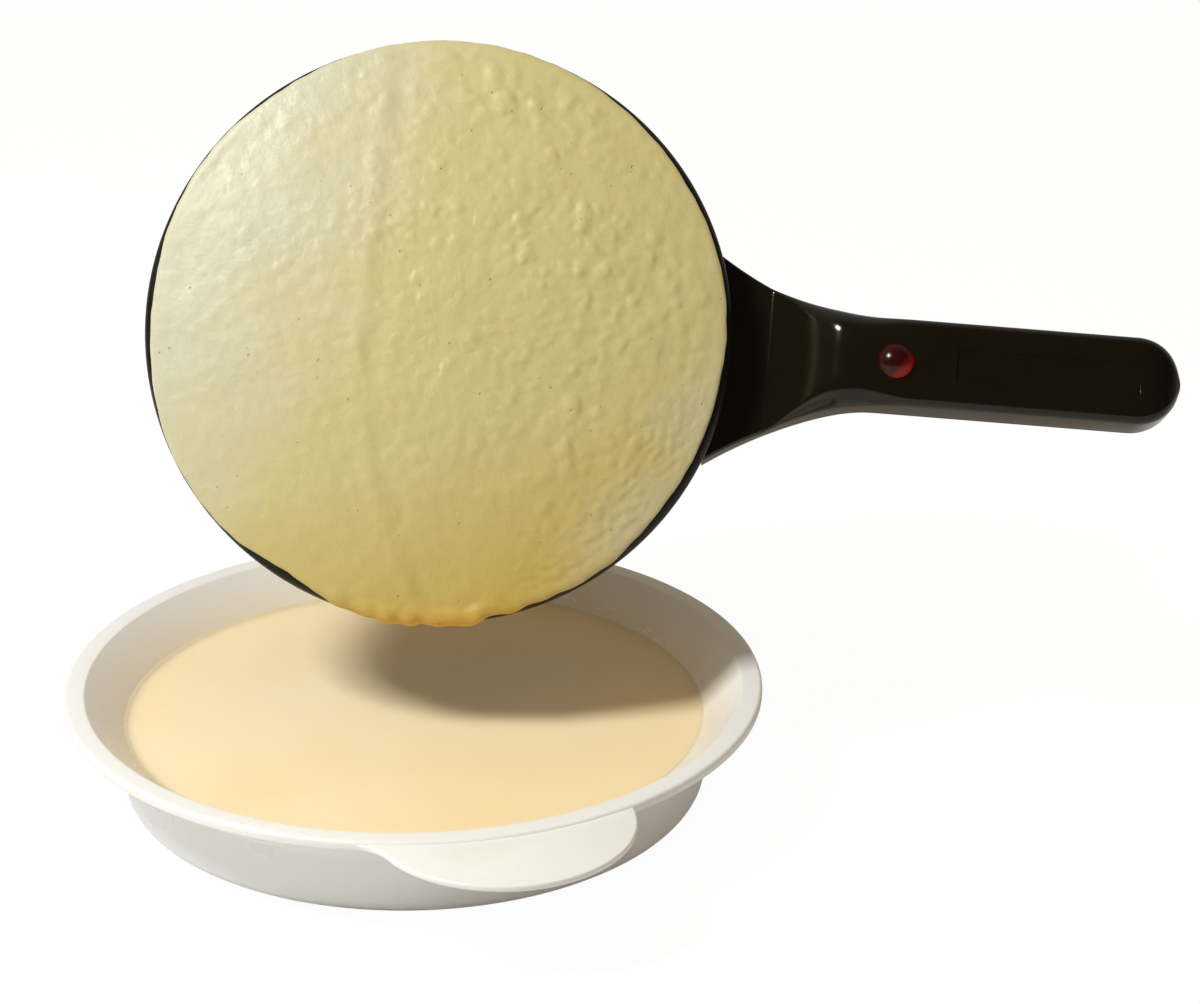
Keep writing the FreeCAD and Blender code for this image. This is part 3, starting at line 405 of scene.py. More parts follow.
class Finishes:
    """The object's finishes, each named for what the surface is."""

    # Polypropylene, gloss moulded: an even white with a soft waxy depth.
    dish = DishFinish(
        "polypropylene_white_gloss", "#EEEFEF", "#EDEDED", drift=60.0, roughness=0.30, wear=0.04,
        grains=(Grain(30.0, 0.01),),
    )
    # Raw batter: milk and egg, opaque cream with a wet level surface.
    batter = Finish(
        "batter_raw_wet", "#F6E3BD", "#F3DDB1", drift=70.0, roughness=0.24, wear=0.03,
        specular=0.2, subsurface=0.18, subsurface_reach=5.0,
        grains=(Grain(22.0, 0.05), Grain(3.0, 0.01)),
    )
    # The same batter in thin splashes, which dry pale.
    splashes = Finish(
        "batter_splashed", "#FFF8EA", roughness=0.30, wear=0.05, grains=(Grain(2.0, 0.01),),
    )
    # Sprayed non-stick coating over cast aluminium: satin black with a fine fleck.
    plate = Finish(
        "nonstick_coating_satin_black", "#12100D", "#181612", drift=12.0, roughness=0.40,
        specular=0.22, grains=(Grain(0.8, 0.012, detail=3.0),),
    )
    # Half-set crepe: blistered where steam has lifted it, glossy where still wet.
    crepe = CrepeFinish(
        "crepe_half_set", "#C4C1A6", roughness=0.44, wear=0.10, drift=50.0, ior=1.4,
        subsurface=0.15, subsurface_reach=1.5,
        grains=(Grain(5.0, 0.30, detail=4.0), Grain(1.6, 0.08, detail=3.0)),
    )
    # Phenolic moulding, polished tool: deep black with sharp reflections.
    handle = Finish(
        "phenolic_black_polished", "#17110A", "#19140C", drift=35.0, roughness=0.13, wear=0.03,
        specular=0.36, grains=(Grain(14.0, 0.006),),
    )
    # The underside's moulding: the same black with a fine spark texture.
    housing = Finish(
        "phenolic_black_textured", "#110F0C", "#151310", drift=35.0, roughness=0.28, wear=0.05,
        specular=0.22, grains=(Grain(0.9, 0.008, detail=3.0),),
    )
    # Acrylic lens, moulded in clear red.
    lens = LensFinish(
        "acrylic_red_clear", "#3A0C07", roughness=0.22, wear=0.02, ior=1.45,
        transmission=0.35, specular=0.25, grains=(Grain(3.0, 0.004),),
    )
    glass = Finish(
        "lamp_glass_clear", "#F6E6DC", roughness=0.05, wear=0.02, transmission=0.9,
        grains=(Grain(2.0, 0.003),),
    )
    zinc = Finish(
        "steel_zinc_plated", "#B9BCC0", "#A9ACB0", drift=8.0, roughness=0.34, wear=0.08,
        metallic=1.0, grains=(Grain(0.7, 0.006),),
    )
    nickel = Finish(
        "steel_nickel_plated", "#C9C3B6", "#BDB6A8", drift=6.0, roughness=0.28, wear=0.08,
        metallic=1.0, grains=(Grain(0.6, 0.004),),
    )
    sheath = Finish(
        "incoloy_heat_stained", "#5A534E", "#494A52", drift=14.0, roughness=0.46, wear=0.10,
        metallic=1.0, grains=(Grain(0.8, 0.010),),
    )
    foil = Finish(
        "aluminium_mill_finish", "#C6C7C9", "#BEBFC2", drift=20.0, roughness=0.36, wear=0.08,
        metallic=1.0, grains=(Grain(1.2, 0.006),),
    )
    brass = Finish(
        "brass_turned", "#C9A45A", "#BE974C", drift=6.0, roughness=0.30, wear=0.08,
        metallic=1.0, grains=(Grain(0.5, 0.005),),
    )
    steatite = Finish(
        "steatite_unglazed", "#D9D4C8", "#D2CCBE", drift=6.0, roughness=0.72,
        grains=(Grain(0.5, 0.012, detail=3.0),),
    )
    phenolic = Finish(
        "phenolic_black_satin", "#1A1918", "#201F1D", drift=10.0, roughness=0.42,
        grains=(Grain(0.6, 0.010),),
    )
    rubber = Finish(
        "rubber_black_matt", "#1C1C1C", "#222222", drift=8.0, roughness=0.78, specular=0.3,
        grains=(Grain(0.5, 0.02, detail=3.0),),
    )
    silicone = Finish(
        "silicone_grey", "#55555A", "#4E4E53", drift=12.0, roughness=0.60, wear=0.05,
        grains=(Grain(0.8, 0.008),),
    )
    sleeve = Finish(
        "silicone_lead_sleeve", "#C9C6BC", "#C1BEB3", drift=9.0, roughness=0.55, wear=0.05,
        grains=(Grain(0.7, 0.010),),
    )


CARRIED: dict[Finish, tuple[str, ...]] = {
    Finishes.silicone: ("rim_gasket",),
    Finishes.sheath: ("heating_element",),
    Finishes.steatite: ("terminal_insulators", "lamp_resistor", "terminal_block"),
    Finishes.nickel: ("cold_pins", "thermostat_tabs", "thermal_fuse"),
    Finishes.zinc: (
        "clamp_straps", "clamp_screws", "thermostat_disc", "thermostat_screw", "fuse_clip",
        "handle_screws", "housing_screws", "socket_screws",
    ),
    Finishes.foil: ("heat_shield", "thermostat_cup"),
    Finishes.phenolic: ("thermostat_body", "socket_body", "lamp_holder"),
    Finishes.rubber: ("rubber_feet",),
    Finishes.brass: ("socket_centre_contact", "socket_ring_contact", "terminal_clamps"),
    Finishes.glass: ("neon_lamp",),
    Finishes.sleeve: ("supply_leads", "element_leads", "lamp_leads"),
}


def rounded(corners: Sequence[tuple[float, float, float]], steps: int = 6) -> Profile:
    """Rounds the corners of an open profile.

    Args:
        corners: each corner's two coordinates and its rounding radius.
        steps: how many steps each round takes.

    Returns:
        The profile's points, with each round as an arc of points.
    """
    points: Profile = []
    for i, (u, v, radius) in enumerate(corners):
        here = Vector((u, v))
        if radius <= 0.0 or i in (0, len(corners) - 1):
            points.append((u, v))
            continue
        back = (Vector(corners[i - 1][:2]) - here).normalized()
        ahead = (Vector(corners[i + 1][:2]) - here).normalized()
        half = back.angle(ahead) / 2.0
        bisector = (back + ahead).normalized()
        middle = here + bisector * (radius / math.sin(half))
        first = here + back * (radius / math.tan(half)) - middle
        last = here + ahead * (radius / math.tan(half)) - middle
        sweep = first.angle_signed(last)
        for step in range(steps + 1):
            arm = first.copy()
            arm.rotate(Matrix.Rotation(-sweep * step / steps, 2))
            points.append(tuple(middle + arm))
    return points


@dataclass
class Workshop:
    """Turns a bmesh into a finished piece that rides on its body."""

    space: Matrix
    body: Body
    sharp_angle: float = 38.0

    def finish(
        self,
        bm: bmesh.types.BMesh,
        name: str,
        slot: str,
        finish: Finish,
        replaced: Sequence[str] = (),
    ) -> bpy.types.Object:
        """Writes a bmesh as a piece, with its place in its mesh.

        Args:
            bm: the shape, in millimetres in the workshop's space.
            name: the piece's name.
            slot: not used.
            finish: what it is made of.
            replaced: the frame's nodes that it stands for.

        Returns:
            The piece.
        """
        bmesh.ops.recalc_face_normals(bm, faces=bm.faces)
        bmesh.ops.transform(bm, matrix=Matrix.Scale(MM, 4) @ self.space, verts=bm.verts)
        for face in bm.faces:
            face.smooth = True
        for edge in bm.edges:
            edge.smooth = edge.calc_face_angle(0.0) < math.radians(self.sharp_angle)
        mesh = bpy.data.meshes.new(name)
        bm.to_mesh(mesh)
        bm.free()
        mesh.materials.append(finish.material())
        piece = bpy.data.objects.new(name, mesh)
        bpy.context.scene.collection.objects.link(piece)
        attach(piece, self.body.value)
        if replaced:
            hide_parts(*replaced)
        LOG.info("%s: %d faces, rides on %s", name, len(mesh.polygons), self.body.value)
        return piece


def turned(profile: Profile, steps: int) -> bmesh.types.BMesh:
    """Spins a profile of (radius, height) points round the Z axis.

    Args:
        profile: the points, the first and last on the axis or the loop closed.
        steps: how many faces go round.

    Returns:
        A closed shape.
    """
    bm = bmesh.new()
    verts = [bm.verts.new((r, 0.0, z)) for r, z in profile]
    edges = [bm.edges.new(pair) for pair in zip(verts, verts[1:])]
    bmesh.ops.spin(
        bm,
        geom=verts + edges,
        cent=(0, 0, 0),
        axis=(0, 0, 1),
        angle=math.tau,
        steps=steps,
        use_merge=True,
    )
    bmesh.ops.remove_doubles(bm, verts=bm.verts, dist=0.002)
    return bm


def arc_points(
    centre: tuple[float, float], radius: float, start: float, end: float, steps: int
) -> Profile:
    """Points on an arc, its angles in degrees down from straight up."""
    points = []
    for step in range(steps + 1):
        angle = math.radians(start + (end - start) * step / steps)
        points.append((centre[0] + radius * math.sin(angle), centre[1] + radius * math.cos(angle)))
    return points


@dataclass
class BatterDish:
    """The white moulded dish with its lug, and the batter in it."""

    foot_radius: float = 97.0
    foot_round: float = 9.0
    wall: float = 2.2
    wall_radius: float = 99.0
    wall_height: float = 23.0
    flare_round: float = 5.0
    rim_height: float = 37.8
    rim_inner_radius: float = 113.0
    rim_radius: float = 120.0
    lip_drop: float = 3.4
    rim_round: float = 1.4
    mouth_round: float = 1.0
    edge_round: float = 0.6
    lip_round: float = 0.5
    crease_round: float = 0.4
    lug_radius: float = 42.5
    lug_offset: float = 109.0
    lug_angle: float = -72.0
    lug_step: float = 0.9
    lug_thickness: float = 2.2
    lug_blend: float = 16.0
    lug_bevel: float = 0.7
    batter_level: float = 25.0
    film_height: float = 0.9
    splash_count: int = 26
    splash_from: float = 45.0
    splash_span: float = 17.0
    outer_growth: float = 3.0
    outer_foot_round: float = 6.5
    steps: int = 240

    def flare(self) -> float:
        """How far the flare widens for each millimetre that it rises."""
        rise = self.rim_height - self.wall_height
        return (self.rim_inner_radius - self.wall_radius + self.wall) / rise

    def inner_radius(self, height: float) -> float:
        """Radius of the flare's inner side at a height."""
        return self.wall_radius - self.wall + self.flare() * (height - self.wall_height)

    def bowl(self) -> bmesh.types.BMesh:
        """The dish without its lug, turned from one closed profile."""
        lip_inner = self.rim_radius - self.wall
        lip_low = self.rim_height - self.lip_drop
        under = self.rim_height - self.wall
        flare_end = self.wall_radius + self.flare() * (under - self.wall_height)
        corners = [
            (0.0, 0.0, 0.0),
            (self.foot_radius + self.outer_growth, 0.0, self.outer_foot_round),
            (self.wall_radius + self.outer_growth, self.wall_height, self.flare_round),
            (flare_end, under, self.edge_round),
            (lip_inner, under, self.crease_round),
            (lip_inner, lip_low, self.lip_round),
            (self.rim_radius, lip_low, self.edge_round),
            (self.rim_radius, self.rim_height, self.rim_round),
            (self.rim_inner_radius, self.rim_height, self.mouth_round),
            (self.wall_radius - self.wall, self.wall_height, self.flare_round),
            (self.foot_radius - self.wall, self.wall, self.foot_round - self.wall),
            (0.0, self.wall, 0.0),
        ]
        return turned(rounded(corners), self.steps)

    def lug_outline(self, inner: float) -> Profile:
        """The lug's outline, from its blend at the left round to the right."""
        turn = math.radians(self.lug_angle)
        lug = Vector((math.cos(turn), math.sin(turn)))
        side = Vector((lug.y, -lug.x))
        centre = lug * self.lug_offset
        to_lug = self.lug_radius + self.lug_blend
        to_rim = self.rim_radius + self.lug_blend
        along = (to_rim ** 2 - to_lug ** 2 + self.lug_offset ** 2) / (2.0 * self.lug_offset)
        blend = lug * along + side * math.sqrt(to_rim ** 2 - along ** 2)
        rim_touch = blend * (self.rim_radius / to_rim)
        lug_touch = centre + (blend - centre) * (self.lug_radius / to_lug)
        spread = self.rim_radius ** 2 - self.lug_radius ** 2 + self.lug_offset ** 2
        near = spread / (2.0 * self.lug_offset)
        corner = lug * near - side * math.sqrt(self.rim_radius ** 2 - near ** 2)
        points = self.swing(blend, rim_touch, lug_touch, 12)
        points += self.swing(centre, lug_touch, corner, 48, True)[1:]
        start = math.atan2(corner.y, corner.x)
        end = math.atan2(rim_touch.y, rim_touch.x)
        for step in range(25):
            angle = start + (end - start) * step / 24.0
            points.append((inner * math.cos(angle), inner * math.sin(angle)))
        return points

    def swing(
        self, centre: Vector, start: Vector, end: Vector, steps: int, leftward: bool = False
    ) -> Profile:
        """Points on an arc of the outline.

        Args:
            centre: the arc's centre.
            start: the arc's first point.
            end: the arc's last point.
            steps: how many steps the arc takes.
            leftward: whether it runs anticlockwise, and not the shorter way.

        Returns:
            The arc's points.
        """
        first = math.atan2(*(start - centre).yx)
        sweep = (math.atan2(*(end - centre).yx) - first) % math.tau
        if sweep >= math.pi and not leftward:
            sweep -= math.tau
        radius = (start - centre).length
        angles = [first + sweep * i / steps for i in range(steps + 1)]
        return [(centre.x + radius * math.cos(a), centre.y + radius * math.sin(a)) for a in angles]

    def lug(self) -> bmesh.types.BMesh:
        """The flat lug at the front right of the rim, its edges eased."""
        bm = bmesh.new()
        top = self.rim_height - self.lug_step
        inner = self.rim_radius - self.wall / 2.0
        face = bm.faces.new([bm.verts.new((x, y, top)) for x, y in self.lug_outline(inner)])
        grown = bmesh.ops.extrude_face_region(bm, geom=[face])
        low = [v for v in grown["geom"] if isinstance(v, bmesh.types.BMVert)]
        bmesh.ops.translate(bm, verts=low, vec=(0.0, 0.0, -self.lug_thickness))
        bmesh.ops.bevel(
            bm,
            geom=[e for e in bm.edges if abs(e.verts[0].co.z - e.verts[1].co.z) < 1e-6],
            offset=self.lug_bevel,
            offset_type="OFFSET",
            segments=3,
            profile=0.5,
            affect="EDGES",
            material=-1,
        )
        return bm

    def batter(self) -> bmesh.types.BMesh:
        """The batter, its edge drawn up the wall in a small meniscus."""
        level = self.batter_level
        edge = self.inner_radius(level) + 0.05
        film_edge = edge + self.film_height * self.flare()
        film_top = level + self.film_height
        profile = [
            (0.0, level - 0.3),
            (edge * 0.5, level - 0.3),
            (edge - 8.0, level - 0.3),
            (edge - 3.0, level - 0.25),
            (edge - 1.0, level - 0.1),
            (edge, level + 0.3),
            (film_edge - 0.1, film_top),
            (film_edge, film_top),
        ]
        profile += rounded([
            (edge, level, 0.0),
            (self.wall_radius - self.wall + 0.05, self.wall_height, 2.0),
            (self.foot_radius - self.wall - 0.2, self.wall, self.foot_round - self.wall - 0.2),
            (0.0, self.wall, 0.0),
        ])[1:]
        return turned(profile, self.steps)

    def splashes(self) -> bmesh.types.BMesh:
        """Smears of batter left on the far inner wall, each a flattened drop."""
        bm = bmesh.new()
        steep = math.hypot(self.flare(), 1.0)
        for i in range(self.splash_count):
            chance = [noise.cell(Vector((i * 3.7, k * 5.1, 1.0))) for k in range(5)]
            turn = self.splash_from + self.splash_span * chance[0]
            rise = 2.2 + 2.0 * chance[1] ** 2 + 0.06 * (turn - self.splash_from)
            height = self.batter_level + rise
            out = Vector((math.cos(math.radians(turn)), math.sin(math.radians(turn)), 0.0))
            across = Vector((-out.y, out.x, 0.0))
            along = (out * self.flare() + Vector((0.0, 0.0, 1.0))) / steep
            place = Matrix.Translation(out * self.inner_radius(height) + Vector((0.0, 0.0, height)))
            lie = Matrix((across, along, across.cross(along))).transposed().to_4x4()
            width = 0.5 + 2.6 * chance[2] ** 2
            size = Matrix.Diagonal((width, 0.2 + 0.45 * chance[3], 0.10 + 0.10 * chance[4], 1.0))
            bmesh.ops.create_uvsphere(
                bm, u_segments=16, v_segments=8, radius=1.0, matrix=place @ lie @ size
            )
        return bm

    def build(self) -> None:
        """Makes the dish, its lug and the batter."""
        shop = Workshop(Matrix.Identity(4), Body.DISH)
        white = replace(Finishes.dish, flare=self.flare(), wall_foot=self.inner_radius(0.0))
        shop.finish(self.bowl(), "dish_bowl", "dish_plastic", white, ["batter_dish"])
        shop.finish(self.lug(), "dish_lug", "dish_plastic", white)
        shop.finish(self.batter(), "dish_batter", "batter_cream", Finishes.batter, ["batter"])
        shop.finish(self.splashes(), "batter_spatters", "batter_cream", Finishes.splashes)


@dataclass(frozen=True)
class CrepeRelief:
    """What stands on the crepe's face, with sizes and heights in millimetres."""

    radius: float = 100.0
    coarse_size: float = 6.4
    coarse_height: float = 0.74
    medium_size: float = 3.9
    medium_height: float = 0.54
    swell_height: float = 0.36
    ripple_height: float = 0.16
    crust_height: float = 0.60
    fold_place: float = -26.0
    fold_bend: float = 14.0
    fold_height: float = 0.34
    fold_dip: float = 0.30

    def domes(self, x: float, y: float, size: float, layer: float) -> float:
        """Rounded blisters of about one size, each with its own height."""
        distances, points = noise.voronoi(Vector((x / size, y / size, layer)))
        height = 0.35 + 0.65 * noise.cell(points[0] * 7.3)
        return max(0.0, 1.0 - (distances[0] / 0.62) ** 2) * height

    def fold(self, x: float, y: float) -> float:
        """The fold that runs down the face, high on its left and low on its right."""
        bend = self.fold_bend * (min(0.0, y) / 70.0) ** 2
        line = x - self.fold_place - bend + 2.5 * noise.noise(Vector((y * 0.035, 0.0, 2.0)))
        broken = 0.35 + 0.65 * smooth_step(noise.noise(Vector((y * 0.06, 4.0, 2.0))), -0.4, 0.2)
        ridge = self.fold_height * math.exp(-(line / 3.2) ** 2)
        return broken * (ridge - self.fold_dip * math.exp(-((line - 6.0) / 3.8) ** 2))

    def height_at(self, x: float, y: float) -> float:
        """Height of the blisters, ripples and fold at a point of the face."""
        across = x / self.radius
        up = y / self.radius
        blistered = smooth_step(across + 0.45 * up, -0.45, 0.55)
        crust = smooth_step(0.50 * across - 0.392 * up, 0.46, 0.56)
        warp = 1.6 * noise.noise(Vector((x * 0.09, y * 0.09, 6.0)))
        coarse = self.domes(x + warp, y - warp, self.coarse_size, 1.0)
        medium = self.domes(x - warp, y + warp, self.medium_size, 5.0)
        patch = smooth_step(noise.noise(Vector((x * 0.045, y * 0.045, 8.0))), -0.25, 0.3)
        blisters = self.coarse_height * coarse + self.medium_height * medium
        blisters *= (0.22 + 0.78 * blistered) * (0.55 + 0.45 * patch) * (1.0 - 0.6 * crust)
        swell = self.swell_height * noise.noise(Vector((x * 0.050, y * 0.050, 3.0)))
        wave = noise.noise(Vector((x * 0.24 + y * 0.10, y * 0.20 - x * 0.06, 5.0)))
        ripples = self.ripple_height * wave * (1.0 - blistered)
        rough = self.crust_height * crust * noise.noise(Vector((x * 0.50, y * 0.50, 11.0)))
        return blisters + swell + ripples + self.fold(x, y) + rough


@dataclass
class CookingPlate:
    """The domed plate with its rolled edge, and the crepe that bakes on it."""

    space: Matrix
    radius: float = 100.0
    wall: float = 3.0
    edge_roll: float = 4.0
    edge_slope: float = 10.7
    skirt: float = 7.0
    crepe_thickness: float = 1.3
    crepe_lift: float = 0.1
    crepe_wrap: float = 36.0
    lowest: float = 271.0
    crepe_rings: int = 112
    crepe_steps: int = 432
    steps: int = 288
    crepe_shrink: float = 1.1
    relief: CrepeRelief = CrepeRelief()
    crepe_changes: tuple[tuple[float, float, float], ...] = (
        (-20.0, 44.0, -24.0),
        (182.0, 20.0, -23.0),
        (243.0, 9.0, -22.0),
        (271.0, 17.0, 36.0),
        (214.0, 13.0, 16.0),
        (304.0, 20.0, 16.0),
        (40.0, 20.0, -12.0),
        (128.0, 14.0, -10.0),
        (92.0, 20.0, 10.0),
    )

    def crown_radius(self) -> float:
        """The radius of the sphere that the crown is part of."""
        slope = math.radians(self.edge_slope)
        return (self.radius - self.edge_roll + self.edge_roll * math.sin(slope)) / math.sin(slope)

    def crown_centre(self) -> tuple[float, float]:
        """The middle of the crown's sphere, as (radius, height)."""
        slope = math.radians(self.edge_slope)
        drop = (self.crown_radius() - self.edge_roll) * math.cos(slope)
        return 0.0, -self.edge_roll - drop

    def crown_length(self) -> float:
        """How far it is over the crown from its middle to the rolled edge."""
        return math.radians(self.edge_slope) * self.crown_radius()

    def roll_centre(self) -> tuple[float, float]:
        """The middle of the rolled edge's section, as (radius, height)."""
        return self.radius - self.edge_roll, -self.edge_roll

    def skin(self, offset: float, end: float, crown_steps: int, roll_steps: int) -> Profile:
        """The plate's outside from the middle out, moved outwards by offset."""
        slope = self.edge_slope
        crown = arc_points(self.crown_centre(), self.crown_radius() + offset, 0.0, slope, crown_steps)
        roll = arc_points(self.roll_centre(), self.edge_roll + offset, slope, end, roll_steps)
        return crown + roll[1:]

    def plate(self) -> bmesh.types.BMesh:
        """The plate, closed from its crown over the skirt to its underside."""
        outside = self.skin(0.0, 90.0, 16, 8)
        inside = self.skin(-self.wall, 90.0, 16, 4)
        profile = outside + [(self.radius, -self.skirt + 0.4), (self.radius - 0.4, -self.skirt)]
        profile += [(self.radius - self.wall, -self.skirt)] + inside[::-1]
        return turned(profile, self.steps)

    def skin_point(self, along: float, offset: float) -> tuple[float, float]:
        """Finds a point over the plate's skin.

        Args:
            along: its way over the skin from the middle.
            offset: its height over the skin.

        Returns:
            Its radius and its height.
        """
        past = along - self.crown_length()
        if past <= 0.0:
            angle = along / self.crown_radius()
            centre, radius = self.crown_centre(), self.crown_radius() + offset
        else:
            angle = math.radians(self.edge_slope) + past / self.edge_roll
            centre, radius = self.roll_centre(), self.edge_roll + offset
        return centre[0] + radius * math.sin(angle), centre[1] + radius * math.cos(angle)

    def crepe_edge(self, angle: float) -> float:
        """How far the crepe reaches down the rolled edge, in degrees, at a turn of the pan."""
        turn = math.degrees(angle) % 360.0
        wrap = self.crepe_wrap
        for centre, spread, change in self.crepe_changes:
            away = (turn - centre + 180.0) % 360.0 - 180.0
            wrap += change * math.exp(-(away / spread) ** 2)
        direction = Vector((math.cos(angle), math.sin(angle), 0.0))
        ragged = noise.noise(direction * 3.0 + Vector((0.0, 0.0, 4.0)))
        fine = noise.noise(direction * 14.0 + Vector((0.0, 0.0, 9.0)))
        low = math.exp(-((turn - self.lowest) / 20.0) ** 2)
        return max(self.edge_slope + 1.0, wrap + 7.0 * ragged + (5.0 + 22.0 * low) * fine)

    def lip(self, angle: float) -> float:
        """Extra thickness where the batter gathers and sets at the lowest edge."""
        turn = math.degrees(angle) % 360.0
        low = math.exp(-((turn - self.lowest) / 16.0) ** 4)
        bead = noise.noise(Vector((math.cos(angle) * 15.0, math.sin(angle) * 15.0, 2.0)))
        return low * max(0.0, 0.9 + 2.6 * bead)

    def sheet(self) -> bmesh.types.BMesh:
        """The crepe before it is laid: a flat round sheet with a rounded edge."""
        high = self.crepe_lift + self.crepe_thickness
        middle = self.crepe_lift + self.crepe_thickness / 2.0
        profile = [(self.radius * i / self.crepe_rings, high) for i in range(self.crepe_rings + 1)]
        for i in range(1, 6):
            turn = math.pi * i / 6.0
            out = self.radius + self.crepe_thickness * math.sin(turn)
            profile.append((out, middle + self.crepe_thickness / 2.0 * math.cos(turn)))
        profile += [(self.radius * (1.0 - i / 24.0), self.crepe_lift) for i in range(25)]
        return turned(profile, self.crepe_steps)

    def crepe(self) -> bmesh.types.BMesh:
        """The crepe: its sheet, given its relief and laid over the plate."""
        bm = self.sheet()
        reach = self.radius
        for vert in bm.verts:
            x, y, z = vert.co
            way = math.hypot(x, y)
            if way < 1e-6:
                vert.co = (0.0, 0.0, self.skin_point(0.0, z + self.relief.height_at(0.0, 0.0))[1])
                continue
            angle = math.atan2(y, x)
            rolled = math.radians(self.crepe_edge(angle) - self.edge_slope)
            end = self.crown_length() + self.edge_roll * rolled - self.crepe_shrink
            along = way * end / reach if way <= reach else end + (way - reach)
            if z > self.crepe_lift + 1e-4:
                z += self.relief.height_at(x, y) * (1.0 - 0.75 * smooth_step(way, reach - 4.0, reach))
                z += self.lip(angle) * smooth_step(way, reach - 5.0, reach - 0.5)
            out, height = self.skin_point(along, z)
            vert.co = (out * x / way, out * y / way, height)
        return bm

    def build(self) -> None:
        """Makes the plate and the crepe."""
        shop = Workshop(self.space, Body.PAN)
        shop.finish(self.plate(), "plate_domed", "nonstick_plate", Finishes.plate, ["cooking_plate"])
        shop.finish(self.crepe(), "crepe_sheet", "crepe_sheet", Finishes.crepe, ["crepe"])


